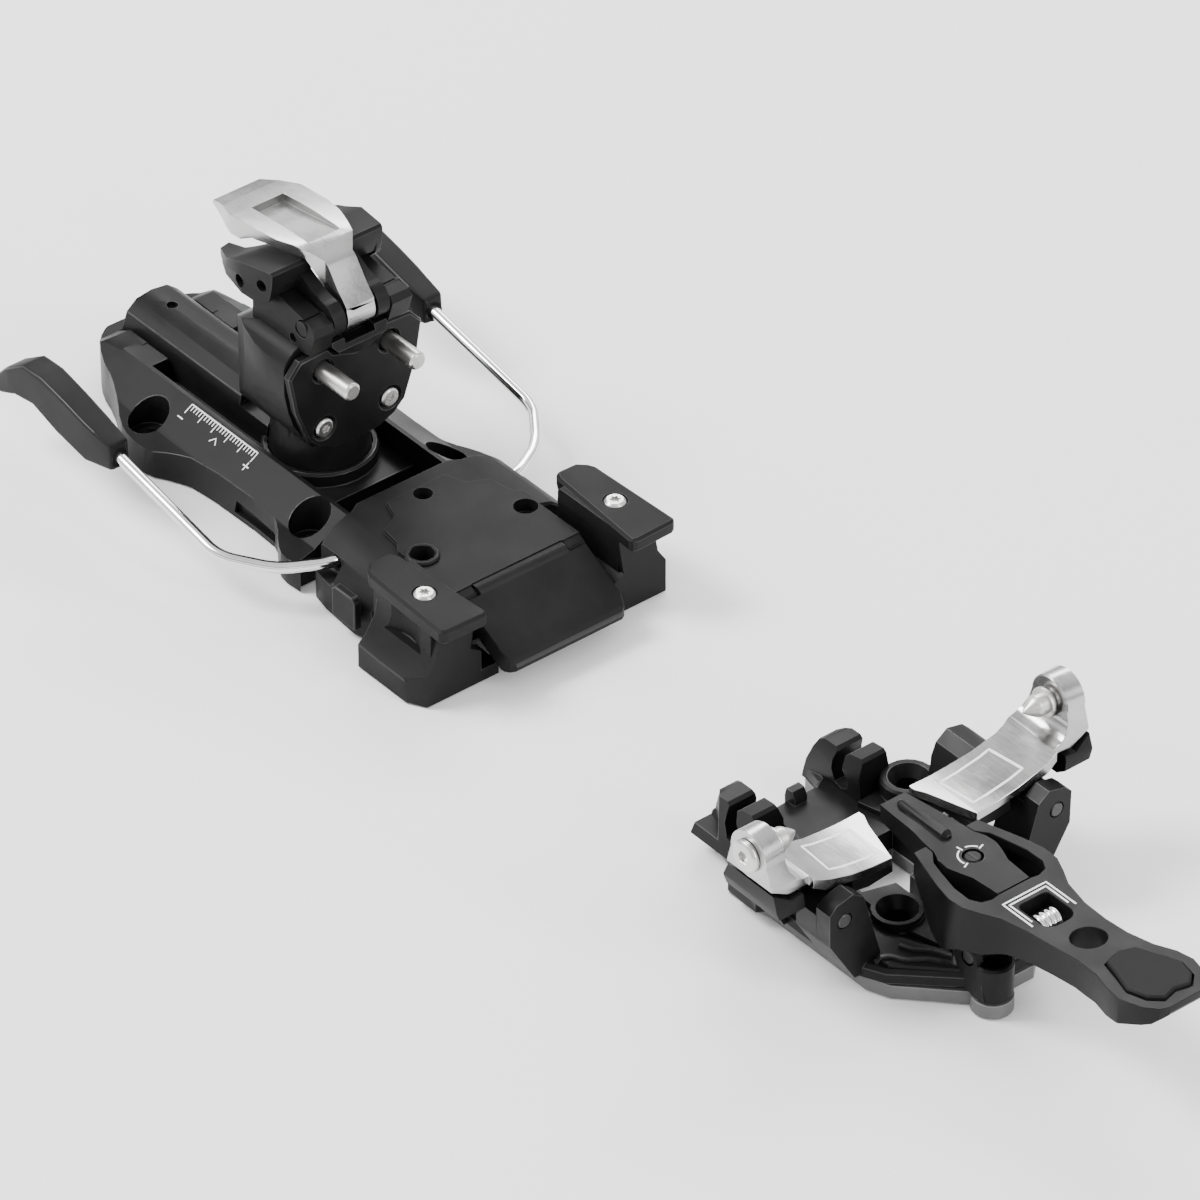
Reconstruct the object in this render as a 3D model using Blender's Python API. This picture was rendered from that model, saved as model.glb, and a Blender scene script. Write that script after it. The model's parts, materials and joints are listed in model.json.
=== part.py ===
"""Touring binding: toe unit and heel unit of one ski binding, on one common centreline.

+X points to the ski tip, +Y to the skier's left, +Z up; the ski's top face is z = 0.
All sizes below are millimetres and become metres when a mesh is made.
The toe unit is drawn about the toe pin line, the heel unit about the turret's upright axis.
"""
import math

import bmesh
import bpy
from mathutils import Matrix, Vector

# ---------------------------------------------------------------- driving dimensions (mm)
MM = 0.001
GAP = 0.3               # air left between neighbouring pieces
TOE_X = 106.5           # toe pin line
HEEL_X = -126.0         # turret's upright axis

# toe unit
SHIM_T = 4.0            # plastic shim under the toe base
BASE_TOP = 9.0          # top of the toe base plate
TOE_PIN_Z = 44.5        # toe pin axis above the ski
JAW_PIVOT = (34.0, 25.5)    # jaw hinge line (y, z), runs along X
JAW_X = (-10.0, 3.2)     # jaw hinge barrel between its two lugs
EYE_R = 6.4             # silver eye around the toe pin
LEVER_PIVOT = (35.5, 15.0)  # lever hinge (x, z), runs along Y
LEVER_TOP = 33.0
LEVER_TIP = 99.5
DIAL_X = 23.5

# heel unit
RAIL_IN = 16.0          # inner wall of each rail
RAIL_TOP = 16.0
CHANNEL_FLOOR = 2.5
BARREL_TOP = 22.0
NECK_R = 15.0
PIN_Y = 10.7            # heel pins
PIN_Z = 48.8
FLAP_AXIS = (14.0, 63.0)    # flap hinge (x, z), runs along Y
BRAKE_AXIS = (44.0, 13.0)   # brake arm hinge (x, z), runs along Y
PEDAL_AXIS = (82.2, 17.2)   # brake pedal hinge (x, z), runs along Y
PEDAL_R = 3.1           # pedal's hinge barrel, almost flush with the plate's top
BRAKE_HALF = 51.6       # middle of the brake wire at its widest
WIRE_R = 1.6

ROUND = 20              # sides of an ordinary round piece


# ---------------------------------------------------------------- materials
def material(name, colour, roughness, metallic):
    mat = bpy.data.materials.new(name)
    mat.use_nodes = True
    shader = mat.node_tree.nodes["Principled BSDF"]
    shader.inputs["Base Color"].default_value = (*colour, 1.0)
    shader.inputs["Roughness"].default_value = roughness
    shader.inputs["Metallic"].default_value = metallic
    mat.diffuse_color = (*colour, 1.0)
    return mat


PALETTE = {
    "black_alloy": ((0.035, 0.036, 0.038), 0.42, 0.85),
    "black_plastic": ((0.030, 0.030, 0.031), 0.60, 0.0),
    "silver_alloy": ((0.72, 0.72, 0.73), 0.28, 1.0),
    "steel": ((0.58, 0.57, 0.55), 0.35, 1.0),
    "polished_steel": ((0.80, 0.80, 0.81), 0.15, 1.0),
    "grey_plastic": ((0.20, 0.20, 0.21), 0.60, 0.0),
    "rubber": ((0.025, 0.025, 0.026), 0.80, 0.0),
}


# ---------------------------------------------------------------- solids
def arc(cx, cy, r, start, end, steps):
    """Points of an arc, angles in degrees, both ends included."""
    turn = [math.radians(start + (end - start) * i / steps) for i in range(steps + 1)]
    return [(cx + r * math.cos(a), cy + r * math.sin(a)) for a in turn]


def mirrored(half):
    """A closed outline from its y >= 0 half, whose points run from rear to front."""
    return half + [(x, -y) for x, y in reversed(half) if y > 1e-6]


def softened(points):
    """An open outline with each inner corner cut once; its two ends stay."""
    out = [points[0]]
    for (ax, ay), (bx, by) in zip(points, points[1:]):
        out.append((ax * 0.75 + bx * 0.25, ay * 0.75 + by * 0.25))
        out.append((ax * 0.25 + bx * 0.75, ay * 0.25 + by * 0.75))
    return out[:1] + out[2:-1] + [points[-1]]


def to_object(bm):
    bmesh.ops.recalc_face_normals(bm, faces=bm.faces[:])
    mesh = bpy.data.meshes.new("solid")
    bm.to_mesh(mesh)
    bm.free()
    obj = bpy.data.objects.new("solid", mesh)
    bpy.context.collection.objects.link(obj)
    return obj


def prism(outline, axis, low, high):
    """Extrude an outline along X (outline y, z), Y (outline x, z) or Z (outline x, y)."""
    place = {
        "X": lambda a, b, t: (t, a, b),
        "Y": lambda a, b, t: (a, t, b),
        "Z": lambda a, b, t: (a, b, t),
    }[axis]
    bm = bmesh.new()
    bottom = [bm.verts.new(place(a, b, low)) for a, b in outline]
    top = [bm.verts.new(place(a, b, high)) for a, b in outline]
    bm.faces.new(bottom)
    bm.faces.new(top)
    count = len(outline)
    for i in range(count):
        j = (i + 1) % count
        bm.faces.new((bottom[i], bottom[j], top[j], top[i]))
    return to_object(bm)


def block(x, y, z):
    return prism([(x[0], y[0]), (x[1], y[0]), (x[1], y[1]), (x[0], y[1])], "Z", z[0], z[1])


def turned(profile, start, direction, sides=ROUND):
    """Revolve (distance along the axis, radius) points about an axis; ends are closed."""
    frame = Vector(direction).to_track_quat("Z", "Y").to_matrix().to_4x4()
    bm = bmesh.new()
    rings = []
    for along, radius in profile:
        ring = []
        for i in range(sides):
            a = 2 * math.pi * i / sides
            ring.append(bm.verts.new((radius * math.cos(a), radius * math.sin(a), along)))
        rings.append(ring)
    for low, high in zip(rings, rings[1:]):
        for i in range(sides):
            j = (i + 1) % sides
            bm.faces.new((low[i], low[j], high[j], high[i]))
    bm.faces.new(rings[0])
    bm.faces.new(rings[-1])
    bm.transform(Matrix.Translation(Vector(start)) @ frame)
    return to_object(bm)


def rod(start, end, radius, sides=ROUND, chamfer=0.0):
    length = (Vector(end) - Vector(start)).length
    profile = [(0, radius), (length, radius)]
    if chamfer:
        tip = radius - chamfer
        profile = [(0, tip), (chamfer, radius), (length - chamfer, radius), (length, tip)]
    return turned(profile, start, Vector(end) - Vector(start), sides)


def tube_along(points, radius, sides=8):
    """A solid wire through the points, mitred at each corner."""
    pts = [Vector(p) for p in points]
    bm = bmesh.new()
    rings = []
    side = None
    for i, p in enumerate(pts):
        before = (p - pts[i - 1]).normalized() if i else (pts[1] - p).normalized()
        after = (pts[i + 1] - p).normalized() if i + 1 < len(pts) else before
        along = (before + after).normalized()
        stretch = 1.0 / max(0.5, along.dot(before))
        if side is None:
            side = along.orthogonal().normalized()
        side = (side - along * side.dot(along)).normalized()
        other = along.cross(side)
        bend = (after - before)
        bend = bend.normalized() if bend.length > 1e-6 else side
        ring = []
        for k in range(sides):
            a = 2 * math.pi * k / sides
            off = side * math.cos(a) * radius + other * math.sin(a) * radius
            off += bend * (off.dot(bend) * (stretch - 1.0))
            ring.append(bm.verts.new(p + off))
        rings.append(ring)
    for low, high in zip(rings, rings[1:]):
        for k in range(sides):
            m = (k + 1) % sides
            bm.faces.new((low[k], low[m], high[m], high[k]))
    bm.faces.new(rings[0])
    bm.faces.new(rings[-1])
    return to_object(bm)


def coil(centre, axis, radius, wire, length, turns, per_turn=12, sides=6):
    """A helical spring about X, Y or Z, centred on a point."""
    steps = int(turns * per_turn)
    points = []
    for i in range(steps + 1):
        a = 2 * math.pi * i / per_turn
        t = -length / 2 + length * i / steps
        u = radius * math.cos(a)
        v = radius * math.sin(a)
        offset = {"X": (t, u, v), "Y": (u, t, v), "Z": (u, v, t)}[axis]
        points.append([c + o for c, o in zip(centre, offset)])
    return tube_along(points, wire, sides)


def boolean(target, tool, operation):
    mod = target.modifiers.new("join", "BOOLEAN")
    mod.operation = operation
    mod.solver = "EXACT"
    mod.object = tool
    bpy.context.view_layer.update()
    done = target.evaluated_get(bpy.context.evaluated_depsgraph_get())
    mesh = bpy.data.meshes.new_from_object(done)
    old = target.data
    target.modifiers.clear()
    target.data = mesh
    bpy.data.meshes.remove(old)
    tool_mesh = tool.data
    bpy.data.objects.remove(tool, do_unlink=True)
    bpy.data.meshes.remove(tool_mesh)
    return target


def cut(target, *tools):
    for tool in tools:
        boolean(target, tool, "DIFFERENCE")
    return target


def join(target, *tools):
    for tool in tools:
        boolean(target, tool, "UNION")
    return target


def keep(target, tool):
    return boolean(target, tool, "INTERSECT")


def bevel(obj, width, segments=1, angle=40):
    """Break the edges sharper than an angle."""
    bm = bmesh.new()
    bm.from_mesh(obj.data)
    bmesh.ops.dissolve_limit(bm, angle_limit=math.radians(1), verts=bm.verts[:], edges=bm.edges[:])
    edges = []
    for edge in bm.edges:
        if len(edge.link_faces) == 2 and edge.calc_face_angle() > math.radians(angle):
            edges.append(edge)
    bmesh.ops.bevel(bm, geom=edges, offset=width, segments=segments, profile=0.5,
                    affect="EDGES", clamp_overlap=True)
    bm.to_mesh(obj.data)
    bm.free()
    return obj


def flipped(obj):
    """The mirror image across the centreline, as a new solid."""
    bm = bmesh.new()
    bm.from_mesh(obj.data)
    bm.transform(Matrix.Scale(-1, 4, (0, 1, 0)))
    bmesh.ops.reverse_faces(bm, faces=bm.faces[:])
    return to_object(bm)


# ---------------------------------------------------------------- nodes
def node(obj, name, mat, unit_x, pivot=(0, 0, 0)):
    """Name a solid, scale it to metres and put its origin on its pivot."""
    bm = bmesh.new()
    bm.from_mesh(obj.data)
    bm.transform(Matrix.Translation(-Vector(pivot)))
    bm.transform(Matrix.Scale(MM, 4))
    bmesh.ops.remove_doubles(bm, verts=bm.verts[:], dist=1e-6)
    bmesh.ops.dissolve_degenerate(bm, dist=1e-6, edges=bm.edges[:])
    bmesh.ops.recalc_face_normals(bm, faces=bm.faces[:])
    bm.to_mesh(obj.data)
    bm.free()
    obj.name = name
    obj.data.name = name
    obj.location = (Vector(pivot) + Vector((unit_x, 0, 0))) * MM
    obj.data.materials.clear()
    obj.data.materials.append(MATERIALS[mat])
    obj.data.shade_smooth()
    obj.data.set_sharp_from_angle(angle=math.radians(35))
    return obj


# ---------------------------------------------------------------- toe unit
SHIM_HALF = [
    (-42.5, 0), (-43.2, 6), (-46, 11), (-53, 12.6), (-54.5, 14.5), (-54, 17.5), (-41.5, 21.5),
    (-34, 28), (-26.5, 28), (-20, 26.5), (15.5, 26.5), (22, 24), (34, 12.5), (38, 8), (38, 0),
]
BASE_HALF = [
    (-42.5, 0), (-43.2, 6), (-46, 11), (-53, 12.6), (-54.5, 14.5), (-54, 17.5), (-41.5, 21.5),
    (-34, 28.3), (-20, 28.3), (-18, 29), (14, 29), (21.5, 25.5), (33.5, 13), (38, 8.5), (38, 0),
]
REAR_HOLE = (-26.0, 23.0)
REAR_HOLE_TOP = 16.0
FRONT_HOLE = (7.5, 9.6)
NOSE = (39.5, -6.8)
NOSE_HOLE_R = 3.0
TOE_HOLE_R = 3.2
WINDOW = [(-18, -11.0), (-4, -11.0), (-1.5, -2.2), (12, -2.2), (12, 2.2), (-1.5, 2.2),
          (-4, 11.0), (-18, 11.0)]


def toe_shim():
    body = prism(mirrored(SHIM_HALF), "Z", 0.0, SHIM_T)
    body = join(body, rod((*NOSE, 0.0), (*NOSE, SHIM_T), 5.4))
    tools = [prism(WINDOW, "Z", -1, SHIM_T + 1), rod((*NOSE, -1), (*NOSE, 9), NOSE_HOLE_R)]
    for side in (1, -1):
        for x, y in (REAR_HOLE, FRONT_HOLE):
            tools.append(rod((x, side * y, -1), (x, side * y, SHIM_T + 1), TOE_HOLE_R))
    return node(cut(body, *tools), "toe_shim", "grey_plastic", TOE_X)


def crampon_tower(side):
    """A tower split by a crosswise slot that ends in a round channel."""
    profile = [
        (-54, 4.6), (-52.4, 11), (-48.6, 19.0), (-47.0, 19.8), (-42.6, 19.9), (-41.8, 19.0),
        (-42.4, 16.5), (-42.8, 13.6), (-41.4, 10.4), (-38.8, 9.6), (-36.8, 10.8), (-36.4, 13),
        (-38.6, 15.6), (-38.8, 19.4), (-37.8, 20.4), (-33.6, 21.0), (-32.8, 20.2), (-31.4, 10),
        (-31, 4.6),
    ]
    tower = prism(profile, "Y", 12.2, 24.5)
    shave = prism([(24.6, 0), (27.5, 0), (27.5, 27), (20.6, 27), (22.4, 12)], "X", -56, -28)
    inner = prism([(12, 22.5), (12, 16), (14.6, 22.5)], "X", -56, -28)
    corner = prism([(-56, 15.0), (-56, 27), (-40, 27), (-49, 18.5)], "Z", 8, 30)
    return flipped_if(cut(tower, shave, inner, corner), side)


def flipped_if(obj, side):
    if side > 0:
        return obj
    other = flipped(obj)
    bpy.data.objects.remove(obj, do_unlink=True)
    return other


def jaw_lug(side, x0, x1, top):
    """An upright lug that holds one end of a jaw's hinge pin."""
    outline = [(21, 6), (30.5, 6), (38.6, 19.5), (38.8, top - 3.4), (36.5, top - 1.2),
               (31.4, top), (28.0, top - 2.5), (24, 16)]
    return flipped_if(prism(outline, "X", x0, x1), side)


def countersink(x, y, top):
    """Cone of a mounting hole, wide end at the top."""
    return turned([(0, TOE_HOLE_R), (3, 5.4), (23, 5.4)], (x, y, top - 3), (0, 0, 1))


def toe_base():
    plate = prism(mirrored(BASE_HALF), "Z", SHIM_T + GAP, BASE_TOP)
    bevel(plate, 1.0, 1, 60)
    shapes = [prism([(-42.6, -7), (-42.6, 7), (-20, 12.5), (12, 12.5), (30, 8), (30, -8),
                     (12, -12.5), (-20, -12.5)], "Z", 5, 10.4)]
    for side in (1, -1):
        shapes.append(crampon_tower(side))
        shapes.append(jaw_lug(side, -22.0, JAW_X[0] - GAP, 29.2))
        shapes.append(jaw_lug(side, JAW_X[1] + GAP, 11.0, 30.0))
        shapes.append(jaw_lug(side, 11.0, 16.0, 32.4))
        shapes.append(prism([(x, side * y) for x, y in [(-30, 10), (-14, 14), (-14, 25), (-31, 27)]],
                            "Z", 5, 12))
        shapes.append(rod((REAR_HOLE[0], side * REAR_HOLE[1], 5),
                          (REAR_HOLE[0], side * REAR_HOLE[1], REAR_HOLE_TOP), 7.4, chamfer=0.6))
        shapes.append(prism([(x, side * y) for x, y in [(-33, 24), (-31, 31), (-20, 31.4),
                                                        (-17, 26), (-20, 20)]], "Z", 4.3, 13.4))
        shapes.append(rod((FRONT_HOLE[0], side * FRONT_HOLE[1], 5),
                          (FRONT_HOLE[0], side * FRONT_HOLE[1], 11.8), 6.6))
        shapes.append(prism([(28, 5), (42, 5), (39.5, 14), (38.0, 17.6), (33, 17.6), (30.5, 14)],
                            "Y", side * 8.5, side * 11.8))
        rim = [(x, side * y) for x, y in [(3, 16), (12, 16), (20, 12.5), (26, 9), (34, 11),
                                          (21, 24.0), (6, 26.0), (2, 22)]]
        shapes.append(prism(rim, "Z", 5, 10.0))
    shapes.append(rod((*NOSE, SHIM_T + GAP), (*NOSE, 14.5), 5.2, chamfer=0.6))
    shapes.append(prism([(-43.4, 7), (-39.6, 7), (-39.8, 12), (-41, 14.2), (-43.2, 14.2),
                         (-43.8, 12)], "Y", -2.0, 2.0))
    body = join(plate, *shapes)
    tools = [prism(WINDOW, "Z", 0, 30), rod((*NOSE, 0), (*NOSE, 30), NOSE_HOLE_R)]
    tools.append(turned([(0, 3.0), (3, 4.0)], (*NOSE, 12.0), (0, 0, 1)))
    for side in (1, -1):
        for x, y, top in ((*REAR_HOLE, REAR_HOLE_TOP), (*FRONT_HOLE, 11.8)):
            tools.append(rod((x, side * y, 0), (x, side * y, 30), TOE_HOLE_R))
            tools.append(countersink(x, side * y, top))
        tools.append(rod((-40, side * JAW_PIVOT[0], JAW_PIVOT[1]),
                         (30, side * JAW_PIVOT[0], JAW_PIVOT[1]), 2.3, 16))
        tools.append(jaw_clearance(side))
    tools.append(rod((LEVER_PIVOT[0], -20, LEVER_PIVOT[1]), (LEVER_PIVOT[0], 20, LEVER_PIVOT[1]),
                     2.3, 16))
    return node(cut(body, *tools), "toe_base", "black_alloy", TOE_X)


def jaw_clearance(side):
    """Room that the jaw sweeps between its lugs as it closes."""
    outline = [(10, 13.0), (24, 13.0), (30, 18.4), (60, 18.4), (60, 60), (10, 60)]
    return flipped_if(prism(outline, "X", JAW_X[0] - GAP, JAW_X[1] + GAP), side)


def jaw_body(side):
    """Black jaw: hinge barrel between the lugs, inner arm, short outer wall under the eye."""
    y, z = JAW_PIVOT
    barrel = [(12.5, 25.2), (20, 24.4), (27.0, 21.8), (31, 20.2), (37, 20.2), (40.2, 23.2),
              (42, 28.0), (44.4, 33.4), (40.8, 34.3), (35.5, 31.5), (28, 30.2), (20, 28.5),
            (12.5, 27.5)]
    body = prism(barrel, "X", *JAW_X)
    arm = [(12.5, 25.2), (20, 24.4), (25.4, 25.4), (25.4, 29.4), (20, 28.5), (12.5, 27.5)]
    wall = [(41.5, 28.0), (45.5, 27.6), (49.6, 29.6), (50.6, 32.5), (50.6, 36.8), (45.6, 33.9),
            (42.0, 34.2)]
    shapes = [prism(arm, "X", -8.6, 8.6)]
    shapes.append(keep(prism(wall, "X", -9.6, 10.2),
                       prism([(-9.6, 20), (-9.6, 33), (-7.6, 37.6), (8.6, 37.6), (10.2, 33),
                              (10.2, 30), (6, 27), (-6, 27)], "Y", 30, 60)))
    body = join(body, *shapes)
    body = cut(body, rod((-30, y, z), (30, y, z), 2.3, 16),
               rod((0, 40, TOE_PIN_Z), (0, 60, TOE_PIN_Z), EYE_R + 0.5, 24))
    body = bevel(body, 0.4, 1, 50)
    name = "jaw_left" if side > 0 else "jaw_right"
    pivot = (0, side * JAW_PIVOT[0], JAW_PIVOT[1])
    return node(flipped_if(body, side), name, "black_alloy", TOE_X, pivot)


def jaw_plate(side):
    """The bright plate: a curved sheet that bends up into the eye."""
    upper = [(8.0, 30.6), (14, 30.7), (20, 31.3), (27, 32.6), (34, 34.9), (39, 37.2)]
    upper += arc(39.2, 42.9, 5.7, -80, -5, 5)
    upper += [(45.0, 45.0), (45.0, 54.0)]
    lower = [(50.8, 54.0), (50.8, 37.8), (45.2, 34.7), (40.3, 35.2), (35.3, 32.1), (28, 30.6),
             (20, 29.0), (12.0, 28.0), (8.0, 28.4)]
    sheet = prism(upper + lower, "X", -12, 12)
    plan = [(-9.2, 7), (-4, 9.5), (9.6, 13.6), (10.4, 36), (9.5, 44), (9.5, 60), (-9.5, 60),
            (-9.5, 44), (-7.2, 36), (-8.6, 20)]
    sheet = keep(sheet, prism(plan, "Z", 20, 60))
    ring = arc(0, TOE_PIN_Z, EYE_R, 0, 180, 14)
    eye = prism([(-8.6, 20), (9.0, 20), (8.4, 38)] + ring + [(-8.2, 38)], "Y", 38, 60)
    low = prism([(6, 20), (39, 20), (39, 60), (6, 60)], "X", -12, 12)
    sheet = keep(sheet, join(eye, low))
    disc = rod((0, 45.3, TOE_PIN_Z), (0, 51.0, TOE_PIN_Z), EYE_R + 0.2, 28)
    sheet = join(sheet, disc)
    sheet = cut(sheet, rod((0, 40, TOE_PIN_Z), (0, 60, TOE_PIN_Z), 3.2, 16))
    sheet = bevel(sheet, 0.35, 1, 50)
    name = "jaw_plate_left" if side > 0 else "jaw_plate_right"
    pivot = (0, side * JAW_PIVOT[0], JAW_PIVOT[1])
    return node(flipped_if(sheet, side), name, "silver_alloy", TOE_X, pivot)


def toe_pin(side):
    """Steel pin: cone tip, wide collar, shank through the eye and a socket head outside."""
    profile = [(0, 0.4), (3.2, 2.5), (3.8, 2.9), (6.3, 2.9), (6.3, 4.0), (7.4, 4.0), (7.4, 2.9),
               (15.9, 2.9)]
    pin = turned(profile, (0, 36.5, TOE_PIN_Z), (0, 1, 0), 20)
    pin = join(pin, turned([(0, 4.4), (0.8, 4.4), (1.6, 3.6)], (0, 51.1, TOE_PIN_Z), (0, 1, 0), 20))
    socket = turned([(0, 1.7), (6, 1.7)], (0, 51.5, TOE_PIN_Z), (0, 1, 0), 6)
    pin = cut(pin, socket)
    name = "toe_pin_left" if side > 0 else "toe_pin_right"
    pivot = (0, side * JAW_PIVOT[0], JAW_PIVOT[1])
    return node(flipped_if(pin, side), name, "steel", TOE_X, pivot)


def jaw_pivot(side):
    y = side * JAW_PIVOT[0]
    pin = rod((-21.5, y, JAW_PIVOT[1]), (16.2, y, JAW_PIVOT[1]), 2.0, 16, 0.3)
    name = "jaw_pivot_pin_left" if side > 0 else "jaw_pivot_pin_right"
    return node(pin, name, "steel", TOE_X, (0, y, JAW_PIVOT[1]))


def jaw_spring(side):
    """Short buffer spring standing on the toe base under the jaw's inner arm."""
    spring = coil((-6.0, side * 20.5, 13.5), "Z", 3.0, 0.6, 7.0, 3, 12, 6)
    name = "jaw_spring_left" if side > 0 else "jaw_spring_right"
    return node(spring, name, "steel", TOE_X, (-6.0, side * 20.5, 9.3))


LEVER_HALF = [
    (13.6, 10.2), (20.5, 12.4), (26.5, 14.2), (32, 15.4), (37, 15.2), (41.5, 13.2), (46, 10.8),
    (54, 9.0), (62, 8.4), (70, 8.2), (78, 9.2), (84, 11.2), (89, 11.9), (95, 10.2), (98.6, 7.6),
    (LEVER_TIP, 5.0), (LEVER_TIP, 0),
]
SLOT_HALF = [
    (13.6, 6.4), (16.5, 6.6), (19.5, 9.0), (24, 10.2), (30, 11.6), (35.5, 11.7), (38.2, 10.2),
    (39.0, 7.4), (38.6, 5.2),
]
WINDOW_X = (44.8, 56.4)     # ends of the lever's window, squarer at the rear
KEY_HOLE = (65.2, 4.6)      # round hole in the lever: x, radius


def lever_side_profile():
    """Lever seen along Y: flat top that rises to the tip, deep near the hinge."""
    return [
        (13.4, LEVER_TOP), (54, LEVER_TOP), (62, 33.4), (84, 36.0), (LEVER_TIP, 37.0),
        (LEVER_TIP, 34.6), (97, 32.0), (88, 28.3), (74, 26.0), (60, 24.4), (48, 23.0), (42, 20.5),
        (36, 19.6), (29.5, 15.5), (24, 17.0), (18, 22.5), (13.4, 26.5),
    ]


def toe_lever():
    """Fork-ended lever: two arms, deep middle on a hinge lug, slim handle with a wide end."""
    body = prism(mirrored(LEVER_HALF), "Z", 8, 45)
    body = keep(body, prism(lever_side_profile(), "Y", -30, 30))
    fork = [(5, 6.4)] + SLOT_HALF
    tools = [prism(fork + [(x, -y) for x, y in reversed(fork)], "Z", 0, 60)]
    tools.append(prism([(24.5, 0), (47, 0), (47, 19.8), (38.6, 21.5), (38.6, 30), (24.5, 30)],
                       "Y", -12.1, 12.1))
    tools.append(rod((KEY_HOLE[0], 0, 20), (KEY_HOLE[0], 0, 50), KEY_HOLE[1], 24))
    body = cut(body, *tools)
    lug = prism([(29.8, 15), (31, 11.2), (35.5, 9.6), (40, 11.2), (41.4, 15), (45, 24), (45, 31),
                 (38.6, 31), (38.0, 22), (30.5, 19)], "Y", -1.2, 7.9)
    body = join(body, lug)
    x, z = LEVER_PIVOT
    body = cut(body, rod((x, -30, z), (x, 30, z), 2.3, 16), lever_window(), thumb_pocket())
    body = bevel(body, 0.5, 1, 50)
    return node(body, "toe_lever", "black_alloy", TOE_X, (x, 0, z))


def lever_window():
    """Window through the lever's top, over the catch spring."""
    rear, front = WINDOW_X
    outline = arc(rear + 1.5, 3.3, 1.5, 90, 180, 3) + arc(rear + 1.5, -3.3, 1.5, 180, 270, 3)
    outline += arc(front - 3.4, -1.4, 3.4, -90, 0, 5) + arc(front - 3.4, 1.4, 3.4, 0, 90, 5)
    return prism(outline, "Z", 24.0, 40)


PAD_OUTLINE = [
    (75.0, 0), (76.5, 4.6), (82, 6.4), (88, 8.6), (93.5, 7.2), (96.6, 4.0), (95.4, 0),
    (96.6, -4.0), (93.5, -7.2), (88, -8.6), (82, -6.4), (76.5, -4.6),
]


def pad_slab(grow, low, high):
    """Outline of the thumb pad, tilted like the lever's top."""
    outline = [(x + grow * math.copysign(1, x - 86), y + grow * math.copysign(1, y) * (y != 0))
               for x, y in PAD_OUTLINE]
    slab = prism(outline, "Z", low, high)
    tilt = Matrix.Translation((86, 0, 36)) @ Matrix.Rotation(math.radians(-4.5), 4, "Y")
    slab.data.transform(tilt @ Matrix.Translation((-86, 0, 0)))
    return slab


def thumb_pocket():
    return pad_slab(0.35, -1.7, 6)


def thumb_pad():
    pad = pad_slab(0.0, -1.3, 0.9)
    pad = bevel(pad, 0.45, 1, 60)
    return node(pad, "thumb_pad", "rubber", TOE_X, (LEVER_PIVOT[0], 0, LEVER_PIVOT[1]))


def lever_tongue():
    """Centre link: pushes the jaws' inner ends, carries the dial, ends at the window."""
    half = [(-6.0, 3.9), (8, 5.2), (13, 6.0), (16.5, 6.3), (19.5, 7.6), (23, 7.9), (26.5, 6.9),
            (30, 5.6), (38.2, 5.0)]
    outline = half + [(x, -y) for x, y in reversed(half)]
    side = [(-6, 27.8), (-6, 32.6), (6, 33.2), (20, LEVER_TOP), (39, LEVER_TOP), (39, 27.5),
            (28, 25.5), (10, 26.5)]
    body = keep(prism(outline, "Z", 20, 40), prism(side, "Y", -20, 20))
    rib = turned([(0, 0.8), (1.2, 1.5), (17, 1.8), (18.4, 0.8)], (-3.5, 0, 32.9), (1, 0, 0.01), 10)
    body = join(body, rib)
    body = cut(body, turned([(0, 2.8), (5, 2.8)], (DIAL_X, 0, 30.4), (0, 0, 1), 20))
    return node(body, "lever_tongue", "black_alloy", TOE_X, (LEVER_PIVOT[0], 0, LEVER_PIVOT[1]))


def stiffness_dial():
    dial = turned([(0, 2.4), (1.7, 2.4), (2.2, 2.0)], (DIAL_X, 0, 30.8), (0, 0, 1), 20)
    dial = cut(dial, block((DIAL_X - 1.8, DIAL_X + 1.8), (-0.4, 0.4), (32.2, 35)))
    return node(dial, "stiffness_dial", "black_plastic", TOE_X, (DIAL_X, 0, 30.8))


def lever_hinge_pin():
    x, z = LEVER_PIVOT
    return node(rod((x, -11.6, z), (x, 11.6, z), 2.0, 16, 0.3), "lever_hinge_pin", "steel", TOE_X,
                (x, 0, z))


def catch_spring():
    """Coil that shows through the lever's window; it returns the walk catch."""
    return node(coil((50.7, 0, 28.5), "Y", 3.2, 0.8, 6.6, 3, 12, 6), "catch_spring",
                "polished_steel", TOE_X, (LEVER_PIVOT[0], 0, LEVER_PIVOT[1]))


def build_toe():
    toe_shim()
    toe_base()
    for side in (1, -1):
        jaw_body(side)
        jaw_plate(side)
        toe_pin(side)
        jaw_pivot(side)
        jaw_spring(side)
    toe_lever()
    lever_hinge_pin()
    lever_tongue()
    stiffness_dial()
    catch_spring()
    thumb_pad()


# ---------------------------------------------------------------- heel unit
HEEL_HALF = [
    (-80, 0), (-79.6, 5), (-77.5, 11), (-73, 17), (-66, 21.5), (-58, 24), (-51, 27.5), (-45, 31.5),
    (-38, 33.6), (-30, 33.6), (-24.5, 30.2), (-17, 27.2), (14, 26.6), (19, 28.5), (23, 32),
    (28, 34.3), (35, 33.8), (38, 31.5),
]
HEEL_REAR_HOLE = (-39.5, 26.0)
HEEL_FRONT_HOLE = (24.5, 22.5)
HEEL_HOLE_R = 3.2
RAIL_FRONT = 33.0


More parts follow.
